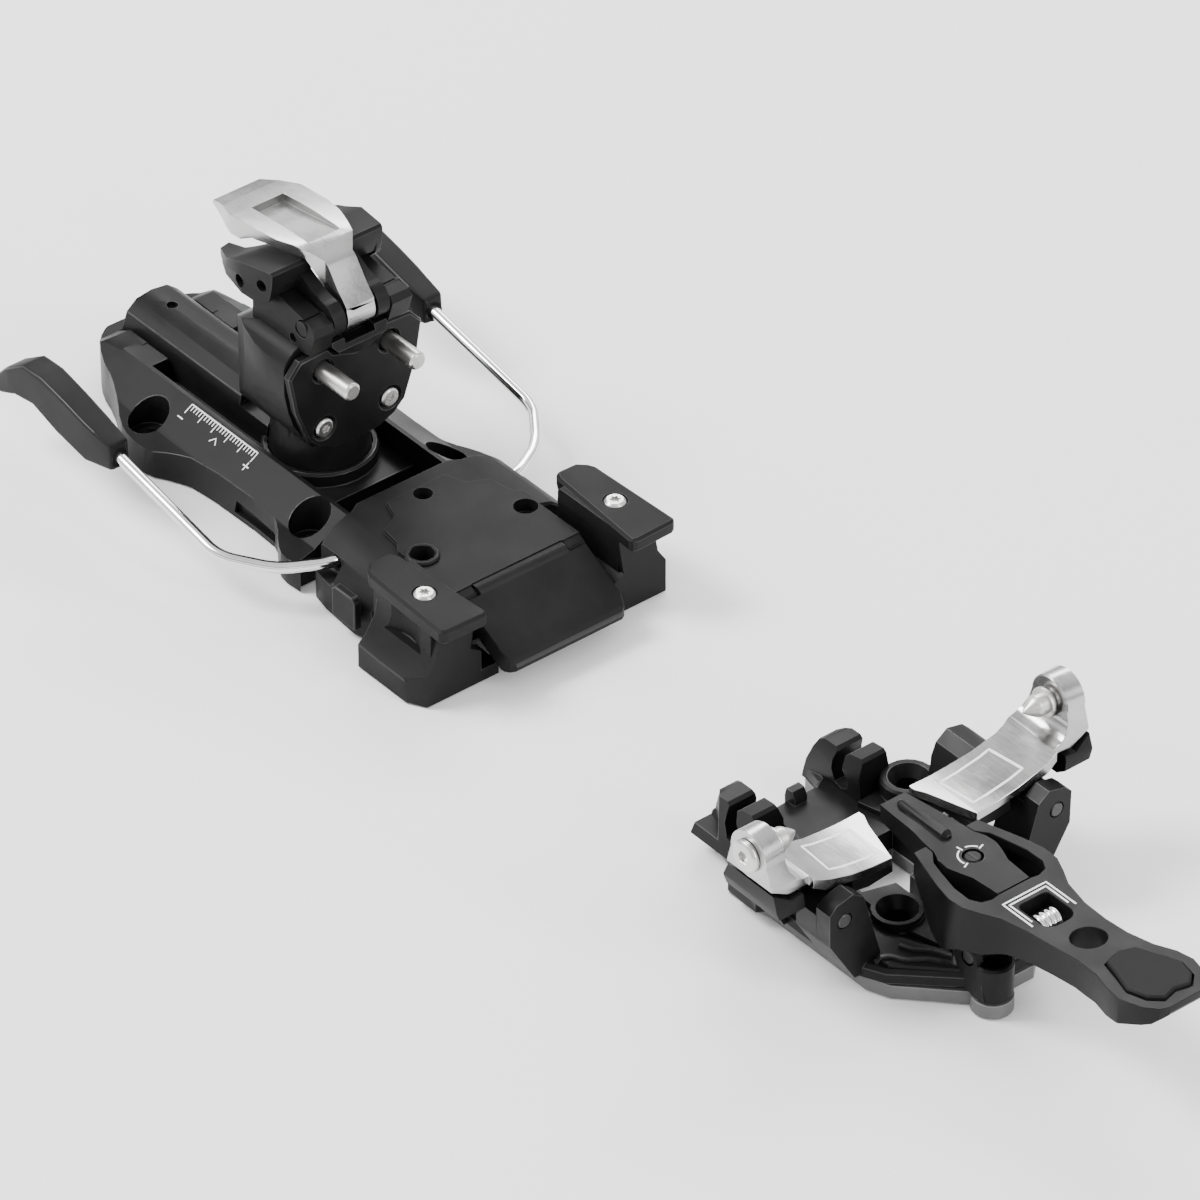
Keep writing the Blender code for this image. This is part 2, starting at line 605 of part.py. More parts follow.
def heel_base():
    """One plate with two rails and a closed rear housing."""
    half = softened(HEEL_HALF[:-1]) + [(RAIL_FRONT, 33.4), (RAIL_FRONT, 0)]
    body = prism(mirrored(half), "Z", 0.0, 19.0)
    crown = [(-40, 0), (-40, 7.0), (-33.4, 8.2), (-27.5, 9.8), (-17.2, RAIL_TOP), (-13.5, RAIL_TOP)]
    rails = prism(crown + [(-y, z) for y, z in reversed(crown)], "X", -62, 60)
    hump = [(-40, 0), (-40, 4), (-26.5, 8), (-22.5, 12.5), (-17.5, 15.4), (-12, 16.2), (0, 16.2)]
    rear = prism(hump + [(-y, z) for y, z in reversed(hump) if y < 0], "X", -90, -60)
    body = keep(body, join(rails, rear))
    tools = [block((-51, 60), (-RAIL_IN, RAIL_IN), (CHANNEL_FLOOR, 40))]
    tools.append(block((-72.6, -50), (-10.8, 10.8), (CHANNEL_FLOOR, 40)))
    tools.append(prism([(-90, 9.6), (-80, 9.6), (-77, 12.4), (-72.8, 13.0), (-66, 17), (-66, 30),
                        (-90, 30)], "Y", -40, 40))
    tools.append(rod((-95, 0, 6.3), (-55, 0, 6.3), 3.25, 16))
    for side in (1, -1):
        for x, y in (HEEL_REAR_HOLE, HEEL_FRONT_HOLE):
            tools.append(rod((x, side * y, -1), (x, side * y, 30), HEEL_HOLE_R))
            tools.append(rod((x, side * y, 4.6), (x, side * y, 30), 5.6))
        recess = [(-2, 1.5), (16, 1.5), (16, 4.5), (-1, 5.5)]
        tools.append(prism(recess, "Y", side * 25.4, side * 40))
    body = cut(body, *tools)
    body = bevel(body, 0.6, 1, 55)
    return node(body, "heel_base", "black_alloy", HEEL_X)


def adjuster_screw():
    """Fore and aft screw, its head in the rear housing, its thread in the carriage."""
    profile = [(0, 2.9), (4.4, 2.9), (4.4, 2.2), (34, 2.2)]
    screw = turned(profile, (-80.0, 0, 6.3), (1, 0, 0), 16)
    screw = cut(screw, block((-82, -78.6), (-2.2, 2.2), (5.8, 6.8)))
    return node(screw, "adjuster_screw", "steel", HEEL_X, (0, 0, 6.3))


def carriage():
    """Sliding carriage: foot in the rails, spring barrel behind, round seat for the turret."""
    foot = block((-49, 19.5), (-RAIL_IN + 0.35, RAIL_IN - 0.35), (CHANNEL_FLOOR + GAP, 9.0))
    barrel_half = [(-9.6, CHANNEL_FLOOR + GAP), (-9.9, 14), (-8.4, 18.6), (-5.0, 21.3),
                   (0, BARREL_TOP)]
    barrel = prism(barrel_half + [(-y, z) for y, z in reversed(barrel_half) if y < 0], "X",
                   -72.2, -10)
    seat = turned([(0, NECK_R + 0.4), (3.6, NECK_R + 0.4), (4.2, NECK_R - 0.2)], (0, 0, 8.8),
                  (0, 0, 1), 28)
    body = join(foot, seat, barrel)
    tools = [turned([(0, NECK_R - 1.2), (40, NECK_R - 1.2)], (0, 0, 11.0), (0, 0, 1), 28)]
    tools.append(turned([(0, 24.2), (40, 24.2)], (0, 0, 16.0), (0, 0, 1), 28))
    tools.append(rod((-76, 0, 14.8), (-32, 0, 14.8), 5.6, 20))
    tools.append(rod((-63, 0, 18), (-63, 0, 30), 1.6, 12))
    tools.append(rod((-76, 0, 6.3), (-30, 0, 6.3), 2.5, 16))
    tools.append(rod((0, 0, 0), (0, 0, 30), 6.3, 20))
    tools.append(prism([(-74, 2), (-68, 2), (-72.3, 9), (-74, 9)], "Y", -20, 20))
    body = cut(body, *tools)
    body = bevel(body, 0.6, 1, 55)
    return node(body, "carriage", "black_alloy", HEEL_X)


def barrel_cap():
    """Screwed plug that closes the spring barrel and sets the sideways release."""
    cap = turned([(0, 4.8), (0.6, 5.3), (7.0, 5.3)], (-70.6, 0, 14.8), (1, 0, 0), 20)
    cap = cut(cap, block((-72, -69.6), (-3.6, 3.6), (14.2, 15.4)))
    return node(cap, "barrel_cap", "steel", HEEL_X, (0, 0, 14.8))


def lateral_spring():
    return node(coil((-48.0, 0, 14.8), "X", 3.9, 0.75, 27.0, 8, 10, 6), "lateral_spring", "steel",
                HEEL_X)


def turret_post():
    """Fixed upright axle that the turret turns on."""
    post = turned([(0, 5.9), (21, 5.9), (21, 4.9), (30.5, 4.9), (31, 4.4)], (0, 0, 3.0), (0, 0, 1),
                  20)
    return node(post, "turret_post", "steel", HEEL_X)


def turret_housing():
    """Rounded head: front face, bulging sides, round neck below, ears on top."""
    plan = [(13.0, 21.0), (6, 21.0), (0, 20.4), (-6, 19.2), (-11, 17.2), (-15, 14.4),
            (-18, 10.8), (-19.9, 6.2), (-20.6, 0)]
    plan = plan + [(x, -y) for x, y in reversed(plan) if y > 0]
    body = prism(plan, "Z", 20, 57.5)
    front = [(-10, 20), (-12.6, 24), (-15.6, 28.2), (-18.3, 33), (-19.9, 38), (-21.0, 44),
             (-21.3, 49.5)]
    front += arc(-13.3, 49.5, 8.0, 165, 90, 5) + [(0, 57.5)]
    shield = prism(front + [(-y, z) for y, z in reversed(front) if y < 0], "X", -30, 20)
    side = [(13.0, 23.6), (13.0, 57.5), (2, 57.5), (-4, 56.9), (-9.5, 55.2), (-14, 52.2),
            (-17.6, 47.8), (-19.9, 42.5), (-20.8, 36), (-19.6, 32), (-17, 28.4), (-13, 25.2),
            (-8.5, 23.2), (-6, 22.4)]
    body = keep(body, shield)
    body = keep(body, prism(side, "Y", -30, 30))
    neck = turned([(0, NECK_R - 1.6), (2.0, NECK_R - 1.6), (9, NECK_R - 2.2), (16, NECK_R - 2.2)],
                  (0, 0, 11.4), (0, 0, 1), 28)
    body = bevel(body, 1.6, 2, 28)
    body = join(body, neck)
    ears = []
    for sgn in (1, -1):
        ear = prism([(-6.4, 50), (-6.0, 66.6), (-4.0, 68.2), (18.6, 64.6), (19.6, 62.6),
                     (17.6, 56.6), (12.6, 55.8), (12.6, 50)], "Y", sgn * 9.3, sgn * 16.0)
        slope = prism([(sgn * 12.6, 72), (sgn * 16.2, 62.0), (sgn * 20, 62.0), (sgn * 20, 72)],
                      "X", -12, 24)
        ears.append(bevel(cut(ear, slope), 0.6, 1, 40))
    body = join(body, *ears)
    tools = [turned([(0, 6.2), (21.6, 6.2), (21.6, 5.2), (31, 5.2)], (0, 0, 3.0), (0, 0, 1), 20)]
    tools.append(rod((FLAP_AXIS[0], -30, FLAP_AXIS[1]), (FLAP_AXIS[0], 30, FLAP_AXIS[1]), 2.4, 16))
    for sgn in (1, -1):
        tools.append(rod((-6, sgn * PIN_Y, PIN_Z), (30, sgn * PIN_Y, PIN_Z), 2.9, 16))
        tools.append(rod((10.6, sgn * 19, 58.6), (10.6, sgn * 14.6, 58.6), 1.4, 12))
    tools.append(rod((-12.0, 0, 44.0), (20, 0, 44.0), 4.6, 20))
    body = cut(body, *tools)
    return node(body, "turret_housing", "black_alloy", HEEL_X)


def face_plate():
    """Shield screwed to the front of the turret, with openings for the two pins."""
    half = [(0, 22.6), (7, 23.0), (12.2, 25.2), (15.8, 28.5), (19.6, 39), (21.6, 50.5), (18, 54.6),
            (9, 55.2), (7.2, 52.8), (0, 50.4)]
    outline = half + [(-y, z) for y, z in reversed(half) if y > 0]
    plate = prism(outline, "X", 13.0 + GAP, 16.2)
    tools = []
    for sgn in (1, -1):
        tools.append(rod((5, sgn * PIN_Y, PIN_Z), (30, sgn * PIN_Y, PIN_Z), 3.1, 16))
        tools.append(rod((5, sgn * 10.7, 30.9), (30, sgn * 10.7, 30.9), 1.6, 12))
        tools.append(rod((14.6, sgn * 10.7, 30.9), (30, sgn * 10.7, 30.9), 3.2, 16))
    plate = cut(plate, *tools)
    plate = bevel(plate, 0.6, 1, 55)
    return node(plate, "face_plate", "black_alloy", HEEL_X)


def face_screw(side):
    y = side * 10.7
    screw = turned([(0, 2.2), (0.5, 2.8), (1.5, 2.8)], (16.5, y, 30.9), (-1, 0, 0), 16)
    screw = cut(screw, turned([(0, 1.2), (1.0, 1.2)], (17.0, y, 30.9), (-1, 0, 0), 6))
    name = "face_screw_left" if side > 0 else "face_screw_right"
    return node(screw, name, "steel", HEEL_X)


def release_cap():
    """Faceted nose between the ears that covers the release cam."""
    half = [(0, 51.0), (6.6, 53.4), (8.9, 56.2), (8.9, 57.4), (0, 57.4)]
    cap = prism(half + [(-y, z) for y, z in reversed(half) if y > 0], "X", 13.4, 18.6)
    side = [(13.4, 50), (17.4, 50), (18.6, 54.6), (17.6, 57.4), (13.4, 57.4)]
    cap = keep(cap, prism(side, "Y", -20, 20))
    x, z = FLAP_AXIS
    cap = cut(cap, rod((x, -4.8, z), (x, 4.8, z), 8.2, 32))
    return node(cap, "release_cap", "black_alloy", HEEL_X)


def release_spring():
    return node(coil((1.5, 0, 44.0), "X", 3.3, 0.7, 19.0, 7, 10, 6), "release_spring", "steel",
                HEEL_X)


def heel_pin(side):
    y = side * PIN_Y
    pin = rod((-5.5, y, PIN_Z), (28.5, y, PIN_Z), 2.55, 18, 0.5)
    name = "heel_pin_left" if side > 0 else "heel_pin_right"
    return node(pin, name, "steel", HEEL_X)


def lower_flap():
    """Black heel rest: two wings above the ears, arms down to the shaft they turn on."""
    x, z = FLAP_AXIS
    roof_side = [(-21.0, 69.6), (-19.5, 67.6), (-9, 68.9), (-4.2, 68.8), (3.4, 67.7), (4.6, 71.0),
                 (5.0, 75.2), (4, 75.8), (-6, 74.8), (-12, 72.3)]
    plan = [(-21, 12.0), (-14, 12.0), (-8, 5.2), (9, 5.2), (9, 17.2), (-6, 19.6), (-14, 18.4),
            (-20, 15.5)]
    roof = keep(prism(roof_side, "Y", 5.0, 20.0), prism(plan, "Z", 40, 90))
    wall_side = [(-20.6, 69.6), (-19.5, 66.8), (1.0, 64.4), (3.6, 67.0), (4.6, 71.0), (-10, 71.0)]
    wall = keep(prism(wall_side, "Y", 16.4, 20.0), prism(plan, "Z", 40, 90))
    arm = prism([(x - 5.6, z - 0.4), (x + 1, z + 4.9), (x - 4, z + 6.3), (x - 9, z + 9.0),
                 (x - 16, z + 9.5), (x - 16, z + 6)], "Y", 5.2, 8.9)
    wing = join(roof, wall, rod((x, 5.2, z), (x, 8.9, z), 5.2, 20), arm)
    tools = [rod((-7.0, 9, 68.4), (-7.0, 24, 68.4), 1.9, 14)]
    tools.append(rod((1.0, 9, 70.6), (1.0, 24, 70.6), 1.7, 14))
    wing = bevel(cut(wing, *tools), 0.6, 1, 55)
    other = flipped(wing)
    body = join(wing, other, rod((x, -15.8, z), (x, 15.8, z), 2.1, 16))
    return node(body, "lower_flap", "black_alloy", HEEL_X, (x, 0, z))


def upper_flap():
    """Bright heel rest: wide plate, waisted neck and a hub on the shaft."""
    x, z = FLAP_AXIS
    side = [(-33.8, 73.4), (-33.2, 74.4), (-27, 76.6), (-20, 77.9), (-8, 79.2), (2, 79.6),
            (6.5, 79.0), (11.0, 75.6), (14.6, 70.6), (18.4, 66.5), (18.4, 61.0), (14.5, 58.2),
            (10.4, 59.4), (9.0, 63), (9.4, 69), (5.6, 76.7), (-4, 76.8), (-12, 75.4), (-17, 72.4),
            (-25, 71.4)]
    plan = [(-33.9, 7.4), (-28, 8.8), (-21, 11.3), (-10, 11.3), (-3, 10.4), (5.7, 7.6), (9.6, 4.4),
            (24, 4.4)]
    body = prism(plan + [(px, -py) for px, py in reversed(plan)], "Z", 50, 90)
    body = keep(body, prism(side, "Y", -20, 20))
    body = join(body, rod((x, -4.4, z), (x, 4.4, z), 5.0, 20))
    tools = [rod((x, -10, z), (x, 10, z), 2.5, 16)]
    tools.append(prism([(-20, 75.4), (-12, 76.7), (-4, 78.0), (3.5, 79.1), (3.5, 90), (-20, 90)],
                       "Y", -5.2, 5.2))
    body = cut(body, *tools)
    body = bevel(body, 0.5, 1, 50)
    return node(body, "upper_flap", "silver_alloy", HEEL_X, (x, 0, z))


def brake_plate():
    """Plate under the boot heel: sloping shoulders take the brake arms, the front takes the pedal."""
    x, z = BRAKE_AXIS
    half = [(34.0, 0), (34.0, 14.8), (36.0, 18.0), (37.0, 28.0), (39.5, 32.4), (45, 33.6),
            (58, 34.6), (64.2, 33.0), (64.2, 21.0), (79.4, 20.6), (79.4, 0)]
    body = prism(mirrored(half), "Z", 0.0, 19.4)
    shoulder = [(-36, 0), (-36, 7.0), (-33.4, 9.6), (-29.6, 14.6), (-25.5, 17.8), (-20, 19.4)]
    body = keep(body, prism(shoulder + [(-y, h) for y, h in reversed(shoulder)], "X", 30, 90))
    body = bevel(body, 0.8, 1, 50)
    step = [(40, 0), (40, 9.5), (46.0, 11.5), (49, 17.4), (55.5, 18.2), (58.5, 20.4), (81.4, 20.4),
            (81.4, 0)]
    shapes = [prism(mirrored(step), "Z", 15, 20.4)]
    shapes.append(rod((64.0, -16.9, 12), (64.0, -16.9, 21.4), 4.6, 20, 0.5))
    for sgn in (1, -1):
        shapes.append(rod((PEDAL_AXIS[0], sgn * 15.0, PEDAL_AXIS[1]),
                          (PEDAL_AXIS[0], sgn * 20.2, PEDAL_AXIS[1]), 2.3, 16))
        shapes.append(prism([(78, 12), (80.2, 12), (83.6, 15.2), (84.2, 17.4), (83.4, 19.2),
                             (81.2, 20.2), (78, 20.2)], "Y", sgn * 15.0, sgn * 20.2))
    body = join(body, *shapes)
    tools = [block((39.0, 49.0), (-18.2, 18.2), (-1, 17.0))]
    tools.append(block((52, 77), (-13.0, 13.0), (-1, 16.0)))
    tools.append(rod((43.0, 0, 10), (43.0, 0, 30), 2.6, 16))
    for sgn in (1, -1):
        tools.append(rod((64.0, sgn * 16.9, -1), (64.0, sgn * 16.9, 30), 1.9, 16))
        tools.append(rod((64.0, sgn * 16.9, 16.4), (64.0, sgn * 16.9, 30), 3.3, 18))
        tools.append(rod((x, sgn * 16, z), (x, sgn * 40, z), WIRE_R + 0.35, 14))
        tools.append(prism([(36.4, 9.6), (47.6, 9.6), (47.6, 30), (36.4, 30)], "Y", sgn * 29.0,
                           sgn * 40))
        tools.append(rod((PEDAL_AXIS[0], sgn * 14, PEDAL_AXIS[1]),
                         (PEDAL_AXIS[0], sgn * 22, PEDAL_AXIS[1]), 1.25, 12))
    tools.append(rod((PEDAL_AXIS[0], -14.7, PEDAL_AXIS[1]), (PEDAL_AXIS[0], 14.7, PEDAL_AXIS[1]),
                     PEDAL_R + GAP, 24))
    body = cut(body, *tools)
    return node(body, "brake_plate", "black_plastic", HEEL_X)


def brake_pedal():
    """Ramp that the boot heel presses; it hinges at the seam behind it."""
    x, z = PEDAL_AXIS
    side = [(x + 0.5, z + 2.9), (85.2, 19.3), (98.0, 12.4), (101.4, 10.2), (102.7, 8.2),
            (102.4, 6.2), (99.8, 5.6), (96, 7.4), (86, 12.8), (x + 0.5, z - 1.8)]
    half = [(x - 1, 14.4), (84.9, 14.4), (84.9, 19.6), (99.0, 19.6), (101.6, 18.6), (102.7, 16.8)]
    body = prism(half + [(a, -b) for a, b in reversed(half)], "Z", 3, 22)
    body = bevel(keep(body, prism(side, "Y", -30, 30)), 0.5, 1, 55)
    body = join(body, rod((x, -14.4, z), (x, 14.4, z), PEDAL_R, 24))
    body = cut(body, rod((x, -30, z), (x, 30, z), 1.25, 12))
    return node(body, "brake_pedal", "black_plastic", HEEL_X, (x, 0, z))


def pedal_pin():
    x, z = PEDAL_AXIS
    return node(rod((x, -19.8, z), (x, 19.8, z), 0.95, 12), "pedal_pin", "steel", HEEL_X,
                (x, 0, z))


def side_block(side):
    """Block beside the pedal: wide flat top, scooped side, thick foot."""
    x0, x1 = 66.6, 93.6
    profile = [(21.4, 0.0), (41.8, 0.0), (42.0, 7.0), (39.4, 9.4), (36.4, 14.0), (35.2, 20.0),
               (36.4, 22.6), (36.4, 25.4), (24.0, 25.4), (23.4, 22.0), (25.0, 12.0), (21.4, 9.8)]
    body = prism(profile, "X", x0, x1)
    plan = [(x0 + 2.2, 21), (x0 + 2.2, 41.8), (x1 - 6, 42.2), (x1, 39.0), (x1, 21)]
    body = keep(body, prism(plan, "Z", -1, 40))
    toe = prism([(84.0, 15.8), (84.0, 24), (x1, 24), (x1, 15.8)], "Z", 0.0, 3.8)
    top = [(66.0, 36.0), (63.6, 33.5), (63.4, 27.4), (66, 25.8), (98.6, 23.2), (99.4, 25),
           (99.0, 37.2), (97.4, 38.2), (68, 37.0)]
    slab = bevel(prism(top, "Z", 22.0, 26.3), 0.8, 1, 50)
    neck = prism([(67.6, 24.5), (67.6, 35.5), (92, 36.5), (92, 24.5)], "Z", 10, 24)
    body = join(body, neck, slab, toe)
    tools = [turned([(0, 3.3), (5, 3.3)], (82.8, 31.0, 24.9), (0, 0, 1), 16)]
    tools.append(rod((82.8, 31.0, 18), (82.8, 31.0, 30), 1.6, 12))
    tools.append(rod((81.0, 47.0, 13.0), (81.0, 47.0, 20.8), 12.6, 28))
    body = cut(body, *tools)
    name = "side_block_left" if side > 0 else "side_block_right"
    return node(flipped_if(body, side), name, "black_plastic", HEEL_X)


def block_screw(side):
    screw = turned([(0, 3.0), (0.9, 3.0), (1.6, 2.4)], (82.8, 31.0, 25.2), (0, 0, 1), 18)
    screw = join(screw, rod((82.8, 31.0, 19.5), (82.8, 31.0, 25.6), 1.3, 10))
    screw = cut(screw, turned([(0, 1.3), (2, 1.3)], (82.8, 31.0, 25.9), (0, 0, 1), 6))
    name = "block_screw_left" if side > 0 else "block_screw_right"
    return node(flipped_if(screw, side), name, "steel", HEEL_X)


def smooth_path(points, radius):
    """Replace each inner corner by an arc-like bend of about the given radius."""
    pts = [Vector(p) for p in points]
    path = [pts[0]]
    for a, b, c in zip(pts, pts[1:], pts[2:]):
        start = b + (a - b).normalized() * radius
        end = b + (c - b).normalized() * radius
        for i in range(5):
            t = i / 4
            path.append(start * (1 - t) ** 2 + b * 2 * t * (1 - t) + end * t * t)
    path.append(pts[-1])
    return path


def brake_arm(side):
    """Bent steel wire: axle in the plate's shoulder, out, back and up to its plastic tip."""
    x, z = BRAKE_AXIS
    route = [(x, 20.6, z), (x, 29.8, z), (36.6, 42.4, 12.6), (24.0, BRAKE_HALF, 13.6),
             (-21.5, BRAKE_HALF, 22.4)]
    wire = tube_along(smooth_path(route, 3.2), WIRE_R, 10)
    name = "brake_arm_left" if side > 0 else "brake_arm_right"
    return node(flipped_if(wire, side), name, "polished_steel", HEEL_X, (x, 0, z))


def brake_tip(side):
    """Plastic paddle on the end of a brake arm."""
    x, z = BRAKE_AXIS
    outline = [(-17.0, 18.6), (-17.6, 26.2), (-24, 27.6), (-36, 30.6), (-46, 32.6), (-54, 32.2),
               (-62, 27.0), (-66.5, 22.4), (-67.6, 18.2), (-65.0, 17.2), (-58, 20.6),
               (-50, 21.8), (-40, 18.6), (-28, 16.4)]
    body = prism(outline, "Y", BRAKE_HALF - 4.3, BRAKE_HALF + 4.3)
    plan = [(-16.5, 48.6), (-16.5, 54.6), (-28, 55.4), (-60, 55.6), (-68, 54.8), (-68, 47.8),
            (-50, 47.6), (-26, 48.0)]
    body = keep(body, prism(plan, "Z", 0, 50))
    body = cut(body, rod((-14.0, BRAKE_HALF, 20.9), (-23.6, BRAKE_HALF, 22.8), WIRE_R + 0.35, 12))
    body = bevel(body, 1.1, 2, 50)
    name = "brake_tip_left" if side > 0 else "brake_tip_right"
    return node(flipped_if(body, side), name, "black_plastic", HEEL_X, (x, 0, z))


def brake_axle():
    """Torsion bar that joins the two arms across the plate."""
    x, z = BRAKE_AXIS
    return node(rod((x, -20.2, z), (x, 20.2, z), WIRE_R, 12), "brake_axle", "steel", HEEL_X,
                (x, 0, z))


def brake_spring():
    x, z = BRAKE_AXIS
    return node(coil((x, 0, z), "Y", 3.0, 0.6, 24.0, 9, 10, 6), "brake_spring", "steel", HEEL_X)


def brake_lock_tab():
    """Small slide on the right shoulder that holds the brake up."""
    tab = prism([(52.6, 5.0), (62.0, 5.0), (62.0, 13.4), (60.8, 14.6), (53.6, 14.6), (52.6, 13.4)],
                "Y", -37.4, -35.0)
    return node(tab, "brake_lock_tab", "black_plastic", HEEL_X, (57.3, -36.2, 9.8))


def build_heel():
    heel_base()
    adjuster_screw()
    carriage()
    barrel_cap()
    lateral_spring()
    turret_post()
    turret_housing()
    face_plate()
    release_cap()
    release_spring()
    lower_flap()
    upper_flap()
    brake_plate()
    brake_pedal()
    pedal_pin()
    brake_axle()
    brake_spring()
    brake_lock_tab()
    for side in (1, -1):
        face_screw(side)
        heel_pin(side)

        side_block(side)
        block_screw(side)
        brake_arm(side)
        brake_tip(side)


for old in list(bpy.data.objects):
    bpy.data.objects.remove(old, do_unlink=True)
MATERIALS = {name: material(name, *look) for name, look in PALETTE.items()}
build_toe()
build_heel()
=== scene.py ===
import json
import math

import bmesh
import bpy
from mathutils import Matrix, Vector
from mathutils.bvhtree import BVHTree


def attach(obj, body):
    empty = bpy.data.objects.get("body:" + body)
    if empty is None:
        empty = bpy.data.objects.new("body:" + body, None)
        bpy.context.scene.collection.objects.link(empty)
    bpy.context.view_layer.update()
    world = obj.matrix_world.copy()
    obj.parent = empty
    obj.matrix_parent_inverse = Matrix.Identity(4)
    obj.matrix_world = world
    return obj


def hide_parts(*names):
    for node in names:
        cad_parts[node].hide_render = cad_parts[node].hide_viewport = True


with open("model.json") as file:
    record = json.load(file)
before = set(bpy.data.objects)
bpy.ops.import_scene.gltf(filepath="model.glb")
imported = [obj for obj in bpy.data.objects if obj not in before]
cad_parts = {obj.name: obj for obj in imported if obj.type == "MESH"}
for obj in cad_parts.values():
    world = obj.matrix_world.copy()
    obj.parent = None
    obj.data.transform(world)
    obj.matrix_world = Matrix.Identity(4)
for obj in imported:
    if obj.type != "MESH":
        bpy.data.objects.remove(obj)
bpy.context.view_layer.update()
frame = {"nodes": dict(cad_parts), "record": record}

MM = 0.001
TOE = 106.5      # toe unit's origin along X, mm
HEEL = -126.0    # heel unit's origin along X, mm
TOE_PIN_Z = 44.5           # toe pin axis above the ski
JAW_HINGE = (34.0, 25.5)   # jaw hinge line (y, z)
DIAL_X = 23.5              # dial's axis in the toe unit
HEEL_PIN_Y = 10.7          # heel pins and the face screws below them
BLOCK_SCREW = (82.8, 31.0)     # side block screw (x, y) in the heel unit
SCALE_START, SCALE_STEP = -31.0, 1.12    # rail scale's first tick and spacing, heel unit
SCALE_Y = -18.0            # inner end of every tick
SHARP_EDGE = 33            # degrees; a sharper edge is one to round
HEAD_SIDES = 72            # sides of a screw head
SUNK = 0.05                # how deep a line's underside sits in its surface
BODY_OF = {n: b for b, ns in frame["record"]["behaviour"]["bodies"].items() for n in ns}


# ------------------------------------------------------------------ materials
def finish_of(name, dark, light, rough, metal, cloud=90.0, grain=2600.0, depth=0.02,
              spread=0.07, stretch=(1, 1, 1), specular=0.5, speck=0.12):
    """Two-tone cloudy colour with fine specks, uneven roughness and a fine bump (depth in mm)."""
    mat = bpy.data.materials.new(name)
    mat.use_nodes = True
    tree = mat.node_tree
    add, link = tree.nodes.new, tree.links.new
    shader = tree.nodes["Principled BSDF"]
    shader.inputs["Metallic"].default_value = metal
    shader.inputs["Specular IOR Level"].default_value = specular
    coord = add("ShaderNodeTexCoord")
    scale = add("ShaderNodeMapping")
    scale.inputs["Scale"].default_value = stretch
    link(coord.outputs["Object"], scale.inputs["Vector"])
    clouds = add("ShaderNodeTexNoise")
    clouds.inputs["Scale"].default_value = cloud
    clouds.inputs["Detail"].default_value = 5.0
    link(coord.outputs["Object"], clouds.inputs["Vector"])
    fine = add("ShaderNodeTexNoise")
    fine.inputs["Scale"].default_value = grain
    fine.inputs["Detail"].default_value = 3.0
    fine.inputs["Roughness"].default_value = 0.6
    link(scale.outputs["Vector"], fine.inputs["Vector"])
    blend = add("ShaderNodeMath")
    blend.operation = "MULTIPLY_ADD"
    blend.inputs[1].default_value = speck
    link(fine.outputs["Fac"], blend.inputs[0])
    link(clouds.outputs["Fac"], blend.inputs[2])
    ramp = add("ShaderNodeValToRGB")
    ramp.color_ramp.elements[0].position = 0.32
    ramp.color_ramp.elements[0].color = (*dark, 1)
    ramp.color_ramp.elements[1].position = 0.74
    ramp.color_ramp.elements[1].color = (*light, 1)
    link(blend.outputs["Value"], ramp.inputs["Fac"])
    link(ramp.outputs["Color"], shader.inputs["Base Color"])
    shine = add("ShaderNodeMapRange")
    shine.inputs["From Min"].default_value = 0.3
    shine.inputs["From Max"].default_value = 0.75
    shine.inputs["To Min"].default_value = rough - spread
    shine.inputs["To Max"].default_value = rough + spread
    link(blend.outputs["Value"], shine.inputs["Value"])
    link(shine.outputs["Result"], shader.inputs["Roughness"])
    bump = add("ShaderNodeBump")
    bump.inputs["Strength"].default_value = 0.6
    bump.inputs["Distance"].default_value = depth * MM
    link(fine.outputs["Fac"], bump.inputs["Height"])
    link(bump.outputs["Normal"], shader.inputs["Normal"])
    return mat


def grey(value, warm=0.0):
    """A grey, a little redder when warm is above zero."""
    return (value * (1 + warm), value, value * (1 - warm))


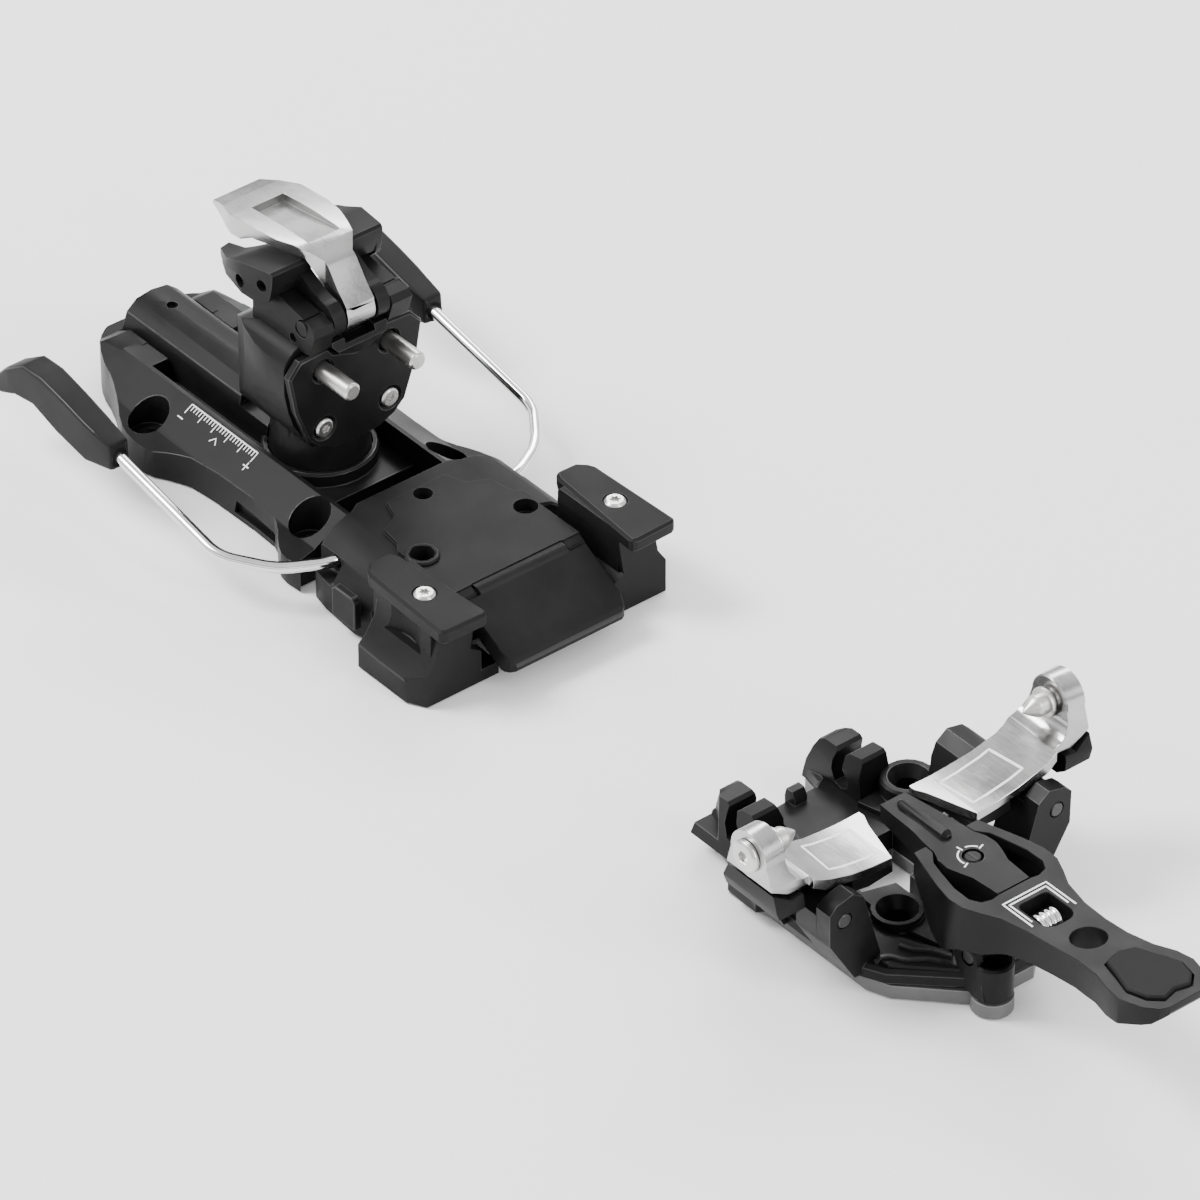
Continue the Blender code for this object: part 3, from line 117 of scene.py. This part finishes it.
# The lighter, glossier second finish of each material is a painted highlight for rounded edges and
# ridges.
FINISH = {
    "black_alloy": finish_of("black_alloy", grey(0.004), grey(0.008), 0.38, 0.0, depth=0.014,
                             specular=0.13),
    "black_alloy_highlight": finish_of("black_alloy_highlight", grey(0.013), grey(0.028), 0.30, 0.10,
                                  cloud=260, depth=0.008, specular=0.4),
    "black_plastic": finish_of("black_plastic", grey(0.005), grey(0.009), 0.50, 0.0,
                               grain=3000, depth=0.040, specular=0.13),
    "black_plastic_highlight": finish_of("black_plastic_highlight", grey(0.012), grey(0.020), 0.42, 0.0,
                                    grain=3000, depth=0.020, specular=0.3),
    "silver_alloy": finish_of("silver_alloy", grey(0.27), grey(0.46, 0.006), 0.20, 1.0,
                              cloud=70, grain=1500, depth=0.010, stretch=(0.12, 1, 1),
                              speck=0.35),
    "silver_alloy_highlight": finish_of("silver_alloy_highlight", grey(0.55), grey(0.70), 0.16, 1.0,
                                   cloud=300, depth=0.003),
    "steel": finish_of("steel", grey(0.46, 0.01), grey(0.62, 0.02), 0.30, 1.0,
                       grain=3800, depth=0.012, speck=0.35),
    "steel_highlight": finish_of("steel_highlight", grey(0.60), grey(0.74), 0.22, 1.0, depth=0.004),
    "dark_steel": finish_of("dark_steel", grey(0.045), grey(0.075), 0.36, 0.9, cloud=300,
                            depth=0.010),
    "polished_steel": finish_of("polished_steel", grey(0.68), grey(0.82), 0.12, 1.0,
                                cloud=120, grain=2500, depth=0.002, spread=0.04),
    "grey_plastic": finish_of("grey_plastic", grey(0.090), grey(0.120), 0.50, 0.0, grain=3000,
                              depth=0.020, specular=0.4),
    "grey_plastic_highlight": finish_of("grey_plastic_highlight", grey(0.15), grey(0.20), 0.42, 0.0,
                                   depth=0.010),
    "rubber": finish_of("rubber", grey(0.007), grey(0.012), 0.60, 0.0, grain=2200, depth=0.045,
                        specular=0.13),
    "print": finish_of("print", grey(0.72), grey(0.86), 0.50, 0.0, cloud=400, grain=3000,
                       depth=0.010),
    "engraved": finish_of("engraved", grey(0.88), grey(0.96), 0.45, 0.0, cloud=300,
                          grain=2600, depth=0.010),
    # Dark flat finish of the dial slot: painted shade.
    "slot_shade": finish_of("slot_shade", grey(0.004), grey(0.007), 0.60, 0.0, cloud=300, depth=0.010),
}
# Finish of each material's rounded edges: a lighter copy (painted highlight) where there is one,
# else the material itself.
EDGE_OF = {"black_alloy": "black_alloy_highlight", "black_plastic": "black_plastic_highlight",
           "silver_alloy": "silver_alloy_highlight", "steel": "steel_highlight",
           "grey_plastic": "grey_plastic_highlight", "rubber": "rubber",
           "polished_steel": "polished_steel", "dark_steel": "dark_steel"}


# ------------------------------------------------------------------ mesh helpers
def to_piece(bm, name, finish, body, stands_for=(), sharp=32):
    """Finish a mesh: crisp edges, weighted normals, material and body."""
    bmesh.ops.recalc_face_normals(bm, faces=bm.faces[:])
    for face in bm.faces:
        face.smooth = True
    for edge in bm.edges:
        if len(edge.link_faces) == 2 and edge.calc_face_angle() > math.radians(sharp):
            edge.smooth = False
    mesh = bpy.data.meshes.new(name)
    bm.to_mesh(mesh)
    bm.free()
    piece = bpy.data.objects.new(name, mesh)
    bpy.context.scene.collection.objects.link(piece)
    mesh.materials.append(FINISH[finish])
    # second material: the rounded edges' finish, for most materials a painted highlight
    mesh.materials.append(FINISH[EDGE_OF.get(finish, finish)])
    normals = piece.modifiers.new("even_shading", "WEIGHTED_NORMAL")
    normals.keep_sharp = True
    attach(piece, body)
    if stands_for:
        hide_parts(*stands_for)
    return piece


def welded(node):
    """The node's mesh with its split vertices joined and its flat faces whole again."""
    source = frame["nodes"][node].data
    bm = bmesh.new()
    seen = {}
    for poly in source.polygons:
        ring = []
        for i in poly.vertices:
            co = source.vertices[i].co
            key = tuple(round(c * 2e5) for c in co)
            if key not in seen:
                seen[key] = bm.verts.new(co)
            if seen[key] not in ring:
                ring.append(seen[key])
        if len(ring) > 2 and bm.faces.get(ring) is None:
            bm.faces.new(ring)
    bmesh.ops.dissolve_limit(bm, angle_limit=math.radians(0.9), verts=bm.verts[:],
                             edges=bm.edges[:])
    return bm


def break_edges(bm, width):
    """Round the sharp edges that have room for it, and give them the edge finish, a lighter copy
    of the material that paints a highlight on them.
    """
    room = 2.1 * width * MM
    tight = set()
    for edge in bm.edges:
        if edge.calc_length() < room:
            tight.update(edge.verts)
    picked = []
    for edge in bm.edges:
        if len(edge.link_faces) != 2 or edge.verts[0] in tight or edge.verts[1] in tight:
            continue
        if edge.calc_face_angle() > math.radians(SHARP_EDGE) and all(
                f.material_index == 0 for f in edge.link_faces):
            picked.append(edge)
    if picked:
        bmesh.ops.bevel(bm, geom=picked, offset=width * MM, segments=3, profile=0.6,
                        affect="EDGES", clamp_overlap=True, material=1)


def refined(node, finish, widths):
    """The CAD node's shape in place of the plain one, rounded where break_edges can.

    It can't where a sharp edge meets a short one, so the jaws, their plates and the
    upper flap stay sharp, and several other nodes are rounded only in part.
    """
    bm = welded(node)
    for width in widths:
        break_edges(bm, width)
    return to_piece(bm, node + "_body", finish, BODY_OF[node], (node,))


def rounded_profile(profile, radius):
    """Cut each corner of an (along, radius) profile by a short three-point curve."""
    pts = [Vector(p) for p in profile]
    out = [pts[0]]
    for a, b, c in zip(pts, pts[1:], pts[2:]):
        reach = min(radius, (a - b).length * 0.45, (c - b).length * 0.45)
        p, q = b + (a - b).normalized() * reach, b + (c - b).normalized() * reach
        out += [p, p * 0.25 + b * 0.5 + q * 0.25, q]
    out.append(pts[-1])
    return out


def lathe(profile, start, direction, sides=56, soften=0.15):
    """Turned solid, mm: profile is (along, radius), closed at both ends."""
    turn = Vector(direction).to_track_quat("Z", "Y").to_matrix().to_4x4()
    bm = bmesh.new()
    rings = []
    for along, radius in rounded_profile(profile, soften):
        ring = []
        for i in range(sides):
            a = 2 * math.pi * i / sides
            ring.append(bm.verts.new((radius * math.cos(a), radius * math.sin(a), along)))
        rings.append(ring)
    for low, high in zip(rings, rings[1:]):
        for i in range(sides):
            j = (i + 1) % sides
            bm.faces.new((low[i], low[j], high[j], high[i]))
    bm.faces.new(rings[0])
    bm.faces.new(rings[-1])
    bm.transform(Matrix.Scale(MM, 4) @ Matrix.Translation(Vector(start)) @ turn)
    return bm


def socket_head(profile, start, direction, lobes, inner, outer, depth):
    """Turned head whose end carries a lobed or six-sided key socket."""
    turn = Vector(direction).to_track_quat("Z", "Y").to_matrix().to_4x4()
    bm = bmesh.new()
    rings = []

    def ring(radius_at, along):
        verts = []
        for i in range(HEAD_SIDES):
            a = 2 * math.pi * i / HEAD_SIDES
            r = radius_at(a)
            verts.append(bm.verts.new((r * math.cos(a), r * math.sin(a), along)))
        rings.append(verts)

    for along, radius in rounded_profile(profile, 0.3):
        ring(lambda a, r=radius: r, along)
    top = profile[-1][0]

    def key(a):
        if lobes == 6:
            return inner + (outer - inner) * (0.5 + 0.5 * math.cos(6 * a)) ** 0.8
        turn_in = (a % (math.pi / 3)) - math.pi / 6
        return outer * math.cos(math.pi / 6) / math.cos(turn_in)

    ring(lambda a: key(a) + 0.10, top)
    ring(key, top - 0.12)
    ring(key, top - depth)
    for low, high in zip(rings, rings[1:]):
        for i in range(HEAD_SIDES):
            j = (i + 1) % HEAD_SIDES
            bm.faces.new((low[i], low[j], high[j], high[i]))
    bm.faces.new(rings[0])
    bm.faces.new(rings[-1])
    bm.transform(Matrix.Scale(MM, 4) @ Matrix.Translation(Vector(start)) @ turn)
    return bm


def merged(*parts):
    """Several meshes in one."""
    out = bmesh.new()
    for part in parts:
        mesh = bpy.data.meshes.new("part")
        part.to_mesh(mesh)
        part.free()
        out.from_mesh(mesh)
        bpy.data.meshes.remove(mesh)
    return out


def tube(points, radius, sides=16):
    """Round bar along points, mm, with closed, slightly domed ends."""
    pts = [Vector(p) for p in points]
    tangents = []
    for i in range(len(pts)):
        ahead, behind = pts[min(i + 1, len(pts) - 1)], pts[max(i - 1, 0)]
        tangents.append((ahead - behind).normalized())
    side = tangents[0].orthogonal().normalized()
    bm = bmesh.new()
    rings = []
    stations = [(pts[0] - tangents[0] * radius * 0.25, tangents[0], radius * 0.7)]
    stations += [(p, t, radius) for p, t in zip(pts, tangents)]
    stations.append((pts[-1] + tangents[-1] * radius * 0.25, tangents[-1], radius * 0.7))
    for centre, tangent, r in stations:
        side = (side - tangent * side.dot(tangent)).normalized()
        up = tangent.cross(side)
        ring = []
        for k in range(sides):
            a = 2 * math.pi * k / sides
            ring.append(bm.verts.new((centre + (side * math.cos(a) + up * math.sin(a)) * r) * MM))
        rings.append(ring)
    for low, high in zip(rings, rings[1:]):
        for k in range(sides):
            j = (k + 1) % sides
            bm.faces.new((low[k], low[j], high[j], high[k]))
    bm.faces.new(rings[0])
    bm.faces.new(rings[-1])
    return bm


def helix(centre, axis, radius, wire, length, turns):
    """Spring wire with closed ends, mm."""
    steps = int(turns * 28)
    points = []
    for i in range(steps + 1):
        share = i / steps
        a = 2 * math.pi * turns * share
        t = -length / 2 + length * share
        u, v = radius * math.cos(a), radius * math.sin(a)
        offset = {"X": (t, u, v), "Y": (u, t, v), "Z": (u, v, t)}[axis]
        points.append([c + o for c, o in zip(centre, offset)])
    return tube(points, wire, 12)


def bends(route, radius, steps=8):
    """A route with each inner corner turned into a smooth bend."""
    pts = [Vector(p) for p in route]
    path = [pts[0]]
    for a, b, c in zip(pts, pts[1:], pts[2:]):
        start = b + (a - b).normalized() * radius
        end = b + (c - b).normalized() * radius
        for i in range(steps + 1):
            t = i / steps
            path.append(start * (1 - t) ** 2 + b * 2 * t * (1 - t) + end * t * t)
    path.append(pts[-1])
    return path


def mirror(points, side):
    """Points as they are for side 1, across the middle plane for side -1."""
    return [(x, y * side, z) for x, y, z in points]


TREES = {}


def top_of(node, x, y):
    """Height of the node's upper surface at (x, y), mm."""
    if node not in TREES:
        mesh = frame["nodes"][node].data
        TREES[node] = BVHTree.FromPolygons([v.co for v in mesh.vertices],
                                           [p.vertices for p in mesh.polygons])
    hit = TREES[node].ray_cast(Vector((x * MM, y * MM, 0.2)), Vector((0, 0, -1)))[0]
    return hit.z / MM if hit else None


def ribbon(bm, node, path, width, thick, step):
    """A thin raised line that follows the node's surface below a plan path, mm."""
    pts = []
    for a, b in zip(path, path[1:]):
        a, b = Vector(a), Vector(b)
        count = max(1, int((b - a).length / step))
        pts += [a.lerp(b, i / count) for i in range(count)]
    pts.append(Vector(path[-1]))
    rows = []
    for i, p in enumerate(pts):
        along = (pts[min(i + 1, len(pts) - 1)] - pts[max(i - 1, 0)]).normalized()
        across = Vector((-along.y, along.x)) * width / 2
        corners = []
        for q in (p + across, p - across):
            z = top_of(node, q.x, q.y)
            if z is None:
                return
            corners.append((q.x, q.y, z))
        (ax, ay, az), (bx, by, bz) = corners
        rows.append([bm.verts.new(Vector(c) * MM) for c in (
            (ax, ay, az - SUNK), (ax, ay, az + thick), (bx, by, bz + thick),
            (bx, by, bz - SUNK))])
    for low, high in zip(rows, rows[1:]):
        for k in range(4):
            j = (k + 1) % 4
            bm.faces.new((low[k], low[j], high[j], high[k]))
    bm.faces.new(rows[0])
    bm.faces.new(rows[-1])


def lines(name, finish, node, paths, width, thick, step=1.0):
    """One piece made of several ribbons on the same node."""
    bm = bmesh.new()
    for path in paths:
        ribbon(bm, node, path, width, thick, step)
    return to_piece(bm, name, finish, BODY_OF[node], sharp=50)


def ring_path(cx, cy, r, start, end, steps):
    """Plan points along an arc, degrees from +X."""
    out = []
    for i in range(steps + 1):
        a = math.radians(start + (end - start) * i / steps)
        out.append((cx + r * math.cos(a), cy + r * math.sin(a)))
    return out


# ------------------------------------------------------------------ CAD shapes, some edges rounded
for node, finish, widths in (
        ("toe_shim", "grey_plastic", (0.6, 0.25)),
        ("toe_base", "black_alloy", (0.6, 0.25)),
        ("jaw_left", "black_alloy", (0.45, 0.2)),
        ("jaw_right", "black_alloy", (0.45, 0.2)),
        ("jaw_plate_left", "silver_alloy", (0.3, 0.15)),
        ("jaw_plate_right", "silver_alloy", (0.3, 0.15)),
        ("toe_lever", "black_alloy", (0.5, 0.2)),
        ("lever_tongue", "black_alloy", (0.5, 0.2)),
        ("thumb_pad", "rubber", (0.35, 0.15)),
        ("heel_base", "black_alloy", (0.8, 0.3)),
        ("carriage", "black_alloy", (0.5, 0.2)),
        ("turret_housing", "black_alloy", (0.6, 0.25)),
        ("face_plate", "black_alloy", (0.35, 0.15)),
        ("release_cap", "black_alloy", (0.4, 0.2)),
        ("lower_flap", "black_alloy", (0.4, 0.2)),
        ("upper_flap", "silver_alloy", (0.45, 0.2)),
        ("brake_plate", "black_plastic", (0.8, 0.3)),
        ("brake_pedal", "black_plastic", (0.7, 0.3)),
        ("side_block_left", "black_plastic", (0.9, 0.4)),
        ("side_block_right", "black_plastic", (0.9, 0.4)),
        ("brake_tip_left", "black_plastic", (0.7, 0.3)),
        ("brake_tip_right", "black_plastic", (0.7, 0.3)),
        ("brake_lock_tab", "black_plastic", (0.5, 0.2))):
    refined(node, finish, widths)


# ------------------------------------------------------------------ turned and wound parts
for side, word in ((1, "left"), (-1, "right")):
    jaw = word + "_jaw"
    pin = lathe([(0, 0.25), (0.5, 0.75), (3.2, 2.55), (3.9, 2.9), (6.3, 2.9), (6.3, 4.0),
                 (7.4, 4.0), (7.4, 2.9), (15.2, 2.9)],
                (TOE, side * 36.5, TOE_PIN_Z), (0, side, 0))
    head = socket_head([(0, 2.9), (0, 4.4), (1.1, 4.4), (1.6, 3.7)],
                       (TOE, side * 51.1, TOE_PIN_Z), (0, side, 0), 0, 1.6, 1.75, 1.3)
    to_piece(merged(pin, head), "toe_pin_turned_" + word, "steel", jaw, ("toe_pin_" + word,))
    hinge = lathe([(0, 1.7), (0.3, 2.0), (37.4, 2.0), (37.7, 1.7)],
                  (TOE - 21.5, side * JAW_HINGE[0], JAW_HINGE[1]), (1, 0, 0), 40)
    to_piece(hinge, "jaw_hinge_rod_" + word, "dark_steel", "mounting_base",
             ("jaw_pivot_pin_" + word,))
    to_piece(helix((TOE - 6.0, side * 20.5, 13.5), "Z", 3.0, 0.6, 7.0, 3),
             "jaw_coil_" + word, "steel", "mounting_base", ("jaw_spring_" + word,))
    pin = lathe([(0, 2.2), (0.3, 2.55), (33.4, 2.55), (34.0, 1.95)],
                (HEEL - 5.5, side * HEEL_PIN_Y, 48.8), (1, 0, 0), 64, 0.2)
    to_piece(pin, "heel_pin_turned_" + word, "steel", "turret", ("heel_pin_" + word,))
    screw = socket_head([(0, 2.2), (0.4, 2.75), (1.3, 2.75), (1.75, 2.2)],
                        (HEEL + 14.9, side * HEEL_PIN_Y, 30.9), (1, 0, 0), 6, 0.75, 1.2, 0.9)
    to_piece(screw, "face_screw_head_" + word, "steel", "turret", ("face_screw_" + word,))
    block_x, block_y = HEEL + BLOCK_SCREW[0], side * BLOCK_SCREW[1]
    shank = lathe([(0, 1.2), (5.9, 1.3)], (block_x, block_y, 19.5), (0, 0, 1), 32)
    head = socket_head([(0, 2.6), (0.4, 3.0), (0.9, 3.0), (1.55, 2.2)],
                       (block_x, block_y, 25.2), (0, 0, 1), 6, 0.85, 1.4, 0.9)
    to_piece(merged(shank, head), "block_screw_head_" + word, "steel", "mounting_base",
             ("block_screw_" + word,))
    route = mirror([(44, 20.6, 13), (44, 29.8, 13), (36.6, 42.4, 12.6), (24.0, 51.6, 13.6),
                    (-21.5, 51.6, 22.4)], side)
    wire = tube([(x + HEEL, y, z) for x, y, z in bends(route, 4.6)], 1.6, 24)
    to_piece(wire, "brake_wire_" + word, "polished_steel", "brake", ("brake_arm_" + word,))

spring = helix((TOE + 50.7, 0, 28.5), "Y", 3.2, 0.8, 6.6, 4)
to_piece(spring, "catch_coil", "polished_steel", "lever_assembly", ("catch_spring",))
to_piece(helix((HEEL - 48.0, 0, 14.8), "X", 3.9, 0.75, 27.0, 8), "lateral_coil", "steel",
         "heel_carriage", ("lateral_spring",))
to_piece(helix((HEEL + 1.5, 0, 44.0), "X", 3.3, 0.7, 19.0, 7), "release_coil", "steel",
         "turret", ("release_spring",))
to_piece(helix((HEEL + 44.0, 0, 13.0), "Y", 3.0, 0.6, 24.0, 9), "brake_coil", "steel",
         "mounting_base", ("brake_spring",))
to_piece(lathe([(0, 1.3), (0.3, 1.6), (40.1, 1.6), (40.4, 1.3)], (HEEL + 44, -20.2, 13.0),
               (0, 1, 0), 32), "brake_bar", "steel", "brake", ("brake_axle",))
to_piece(lathe([(0, 0.75), (0.2, 0.95), (39.4, 0.95), (39.6, 0.75)],
               (HEEL + 82.2, -19.8, 17.2), (0, 1, 0), 24), "pedal_rod", "steel",
         "mounting_base", ("pedal_pin",))
to_piece(lathe([(0, 1.7), (0.3, 2.0), (22.9, 2.0), (23.2, 1.7)], (TOE + 35.5, -11.6, 15.0),
               (0, 1, 0), 40), "lever_rod", "dark_steel", "mounting_base", ("lever_hinge_pin",))
to_piece(lathe([(0, 5.6), (0.3, 5.9), (21, 5.9), (21, 4.9), (30.6, 4.9), (31, 4.4)],
               (HEEL, 0, 3.0), (0, 0, 1), 56), "turret_pivot", "steel", "heel_carriage",
         ("turret_post",))

# end cap of the barrel, key socket to the rear
to_piece(socket_head([(0, 5.0), (0.3, 5.3), (6.4, 5.3), (7.0, 4.7)], (HEEL - 63.6, 0, 14.8),
                     (-1, 0, 0), 0, 2.3, 2.5, 2.6), "barrel_plug", "steel", "heel_carriage",
         ("barrel_cap",))

# adjuster screw: head with a lobed key socket, and rolled thread
thread = [(0, 2.3), (0.5, 2.9), (3.0, 2.9), (3.2, 2.0)]
along = 3.4
while along < 33.2:
    thread += [(along, 1.85), (along + 0.5, 2.2)]
    along += 1.0
thread.append((34.0, 1.8))
to_piece(socket_head([(34.0 - a, r) for a, r in reversed(thread)], (HEEL - 46.0, 0, 6.3),
                     (-1, 0, 0), 6, 0.9, 1.5, 1.2), "adjuster_thread", "steel", "screw",
         ("adjuster_screw",))

# stiffness dial: low button with a driver slot
dial = lathe([(0, 2.3), (0.1, 2.4), (1.6, 2.4), (2.1, 1.9)], (TOE + DIAL_X, 0, 30.8),
             (0, 0, 1), 48)
to_piece(dial, "dial_button", "black_alloy", "dial", ("stiffness_dial",))
# The driver slot is a thin dark plate laid on the button's top; its darkness is painted shade
# standing in for a recess.
slot = bmesh.new()
bmesh.ops.create_cube(slot, size=1.0, matrix=Matrix.Translation(
    Vector((TOE + DIAL_X, 0, 32.92)) * MM) @ Matrix.Diagonal((3.4 * MM, 0.8 * MM, 0.1 * MM, 1)))
bmesh.ops.bevel(slot, geom=slot.edges[:], offset=0.03 * MM, segments=2, affect="EDGES")
to_piece(slot, "dial_slot", "slot_shade", "dial")

# ------------------------------------------------------------------ printed scale on the rail
ticks = []
for i in range(26):
    x = HEEL + SCALE_START + SCALE_STEP * i
    reach = 20.6 if i % 5 == 0 else 19.4
    ticks.append([(x, SCALE_Y), (x, -reach)])
ticks.append([(HEEL + SCALE_START, SCALE_Y), (HEEL - 3.0, SCALE_Y)])
mid = HEEL - 17.0
ticks.append([(mid - 1.3, -22.4), (mid, -21.0), (mid + 1.3, -22.4)])
ticks.append([(HEEL - 32.2, -22.0), (HEEL - 30.0, -22.0)])
ticks.append([(HEEL - 4.2, -22.0), (HEEL - 2.0, -22.0)])
ticks.append([(HEEL - 3.1, -23.1), (HEEL - 3.1, -20.9)])
lines("rail_scale", "print", "heel_base", ticks, 0.32, 0.05)

# ------------------------------------------------------------------ marks round the dial
cx = TOE + DIAL_X
marks = [ring_path(cx, 0, 3.7, 120, 170, 8), ring_path(cx, 0, 3.7, 200, 285, 12)]
for a in (110, 190, 295):
    c, s = math.cos(math.radians(a)), math.sin(math.radians(a))
    marks.append([(cx + 3.2 * c, 3.2 * s), (cx + 5.0 * c, 5.0 * s)])
lines("dial_marks", "print", "lever_tongue", marks, 0.42, 0.05, 0.5)
lines("window_frame", "print", "toe_lever",
      [[(TOE + 51.5, 5.8), (TOE + 43.4, 5.8), (TOE + 43.4, -5.8), (TOE + 51.5, -5.8)],
       [(TOE + 53.0, 6.9), (TOE + 42.2, 6.9), (TOE + 42.2, -6.9), (TOE + 53.0, -6.9)]],
      0.5, 0.05, 0.8)

# ------------------------------------------------------------------ toe plate ridges
for side, word in ((1, "left"), (-1, "right")):
    first = [(17.4, 25.4), (18.6, 21.8), (22.4, 20.2), (25.6, 15.4), (30.2, 12.2), (34.6, 9.6)]
    second = [(17.2, 17.4), (20.6, 16.0), (23.6, 12.8), (28.6, 10.4)]
    paths = []
    for path in (first, second):
        pts = bends([(x, y * side, 0) for x, y in path], 1.6, 4)
        paths.append([(TOE + p.x, p.y) for p in pts])
    # The ridges take black alloy's lighter edge copy, a painted highlight along each raised line.
    lines("toe_ridges_" + word, "black_alloy_highlight", "toe_base", paths, 1.0, 0.7, 0.7)
    rect = [(-5.2, 14.5), (6.0, 15.6), (6.4, 31.0), (-4.8, 30.0), (-5.2, 14.5)]
    lines("jaw_panel_" + word, "engraved", "jaw_plate_" + word,
          [[(TOE + x, y * side) for x, y in rect]], 0.7, 0.05, 0.8)

# ------------------------------------------------------------------ view, light and floor
floor_mesh = bpy.data.meshes.new("floor")
floor_bm = bmesh.new()
bmesh.ops.create_grid(floor_bm, x_segments=2, y_segments=2, size=6.0)
floor_bm.to_mesh(floor_mesh)
floor_bm.free()
floor = bpy.data.objects.new("floor", floor_mesh)
floor.location = (0, 0, -0.0004)
bpy.context.scene.collection.objects.link(floor)
floor_mesh.materials.append(finish_of("floor_pale", grey(0.95), grey(0.97), 0.75, 0.0, cloud=2,
                                      grain=300, depth=0.02, specular=0.15))

target = Vector((-0.040, 0.023413, 0.0))
distance = 2.29483
azimuth, elevation = math.radians(50.633), math.radians(36.933)
back = Vector((math.cos(elevation) * math.sin(azimuth), -math.cos(elevation) * math.cos(azimuth),
               math.sin(elevation)))
camera_data = bpy.data.cameras.new("camera")
camera_data.sensor_width = 36.0
camera_data.lens = 269.04
camera_data.clip_start = 0.1
camera_data.clip_end = 30.0
camera = bpy.data.objects.new("camera", camera_data)
camera.matrix_world = (Matrix.Translation(target + back * distance)
                       @ back.to_track_quat("Z", "Y").to_matrix().to_4x4())
bpy.context.scene.collection.objects.link(camera)
bpy.context.scene.camera = camera


def softbox(name, place, size, power):
    """Rectangular lamp aimed at the origin."""
    data = bpy.data.lights.new(name, "AREA")
    data.shape = "RECTANGLE"
    data.size, data.size_y = size
    data.energy = power
    lamp = bpy.data.objects.new(name, data)
    aim = Vector(place)
    lamp.matrix_world = (Matrix.Translation(aim)
                         @ aim.to_track_quat("Z", "Y").to_matrix().to_4x4())
    bpy.context.scene.collection.objects.link(lamp)


softbox("key", (-0.9, -0.9, 1.5), (0.7, 0.7), 46)
softbox("side", (1.5, 0.4, 0.9), (0.3, 1.4), 18)
softbox("rim", (-0.9, 1.2, 1.2), (1.5, 0.3), 22)

# dark near the horizon and bright overhead, so that metal shows contrast
SKY_LEVELS = ((0.0, 0.12), (0.40, 0.15), (0.62, 0.30), (0.85, 1.6), (1.0, 2.4))
world = bpy.data.worlds.new("studio")
world.use_nodes = True
sky = world.node_tree
background = sky.nodes["Background"]
background.inputs["Strength"].default_value = 1.0
direction = sky.nodes.new("ShaderNodeTexCoord")
split = sky.nodes.new("ShaderNodeSeparateXYZ")
dome = sky.nodes.new("ShaderNodeValToRGB")
for place, value in SKY_LEVELS:
    stop = (dome.color_ramp.elements[0] if place == 0.0 else
            dome.color_ramp.elements[1] if place == 1.0 else
            dome.color_ramp.elements.new(place))
    stop.color = (value, value, value, 1)
sky.links.new(direction.outputs["Generated"], split.inputs["Vector"])
sky.links.new(split.outputs["Z"], dome.inputs["Fac"])
sky.links.new(dome.outputs["Color"], background.inputs["Color"])
bpy.context.scene.world = world
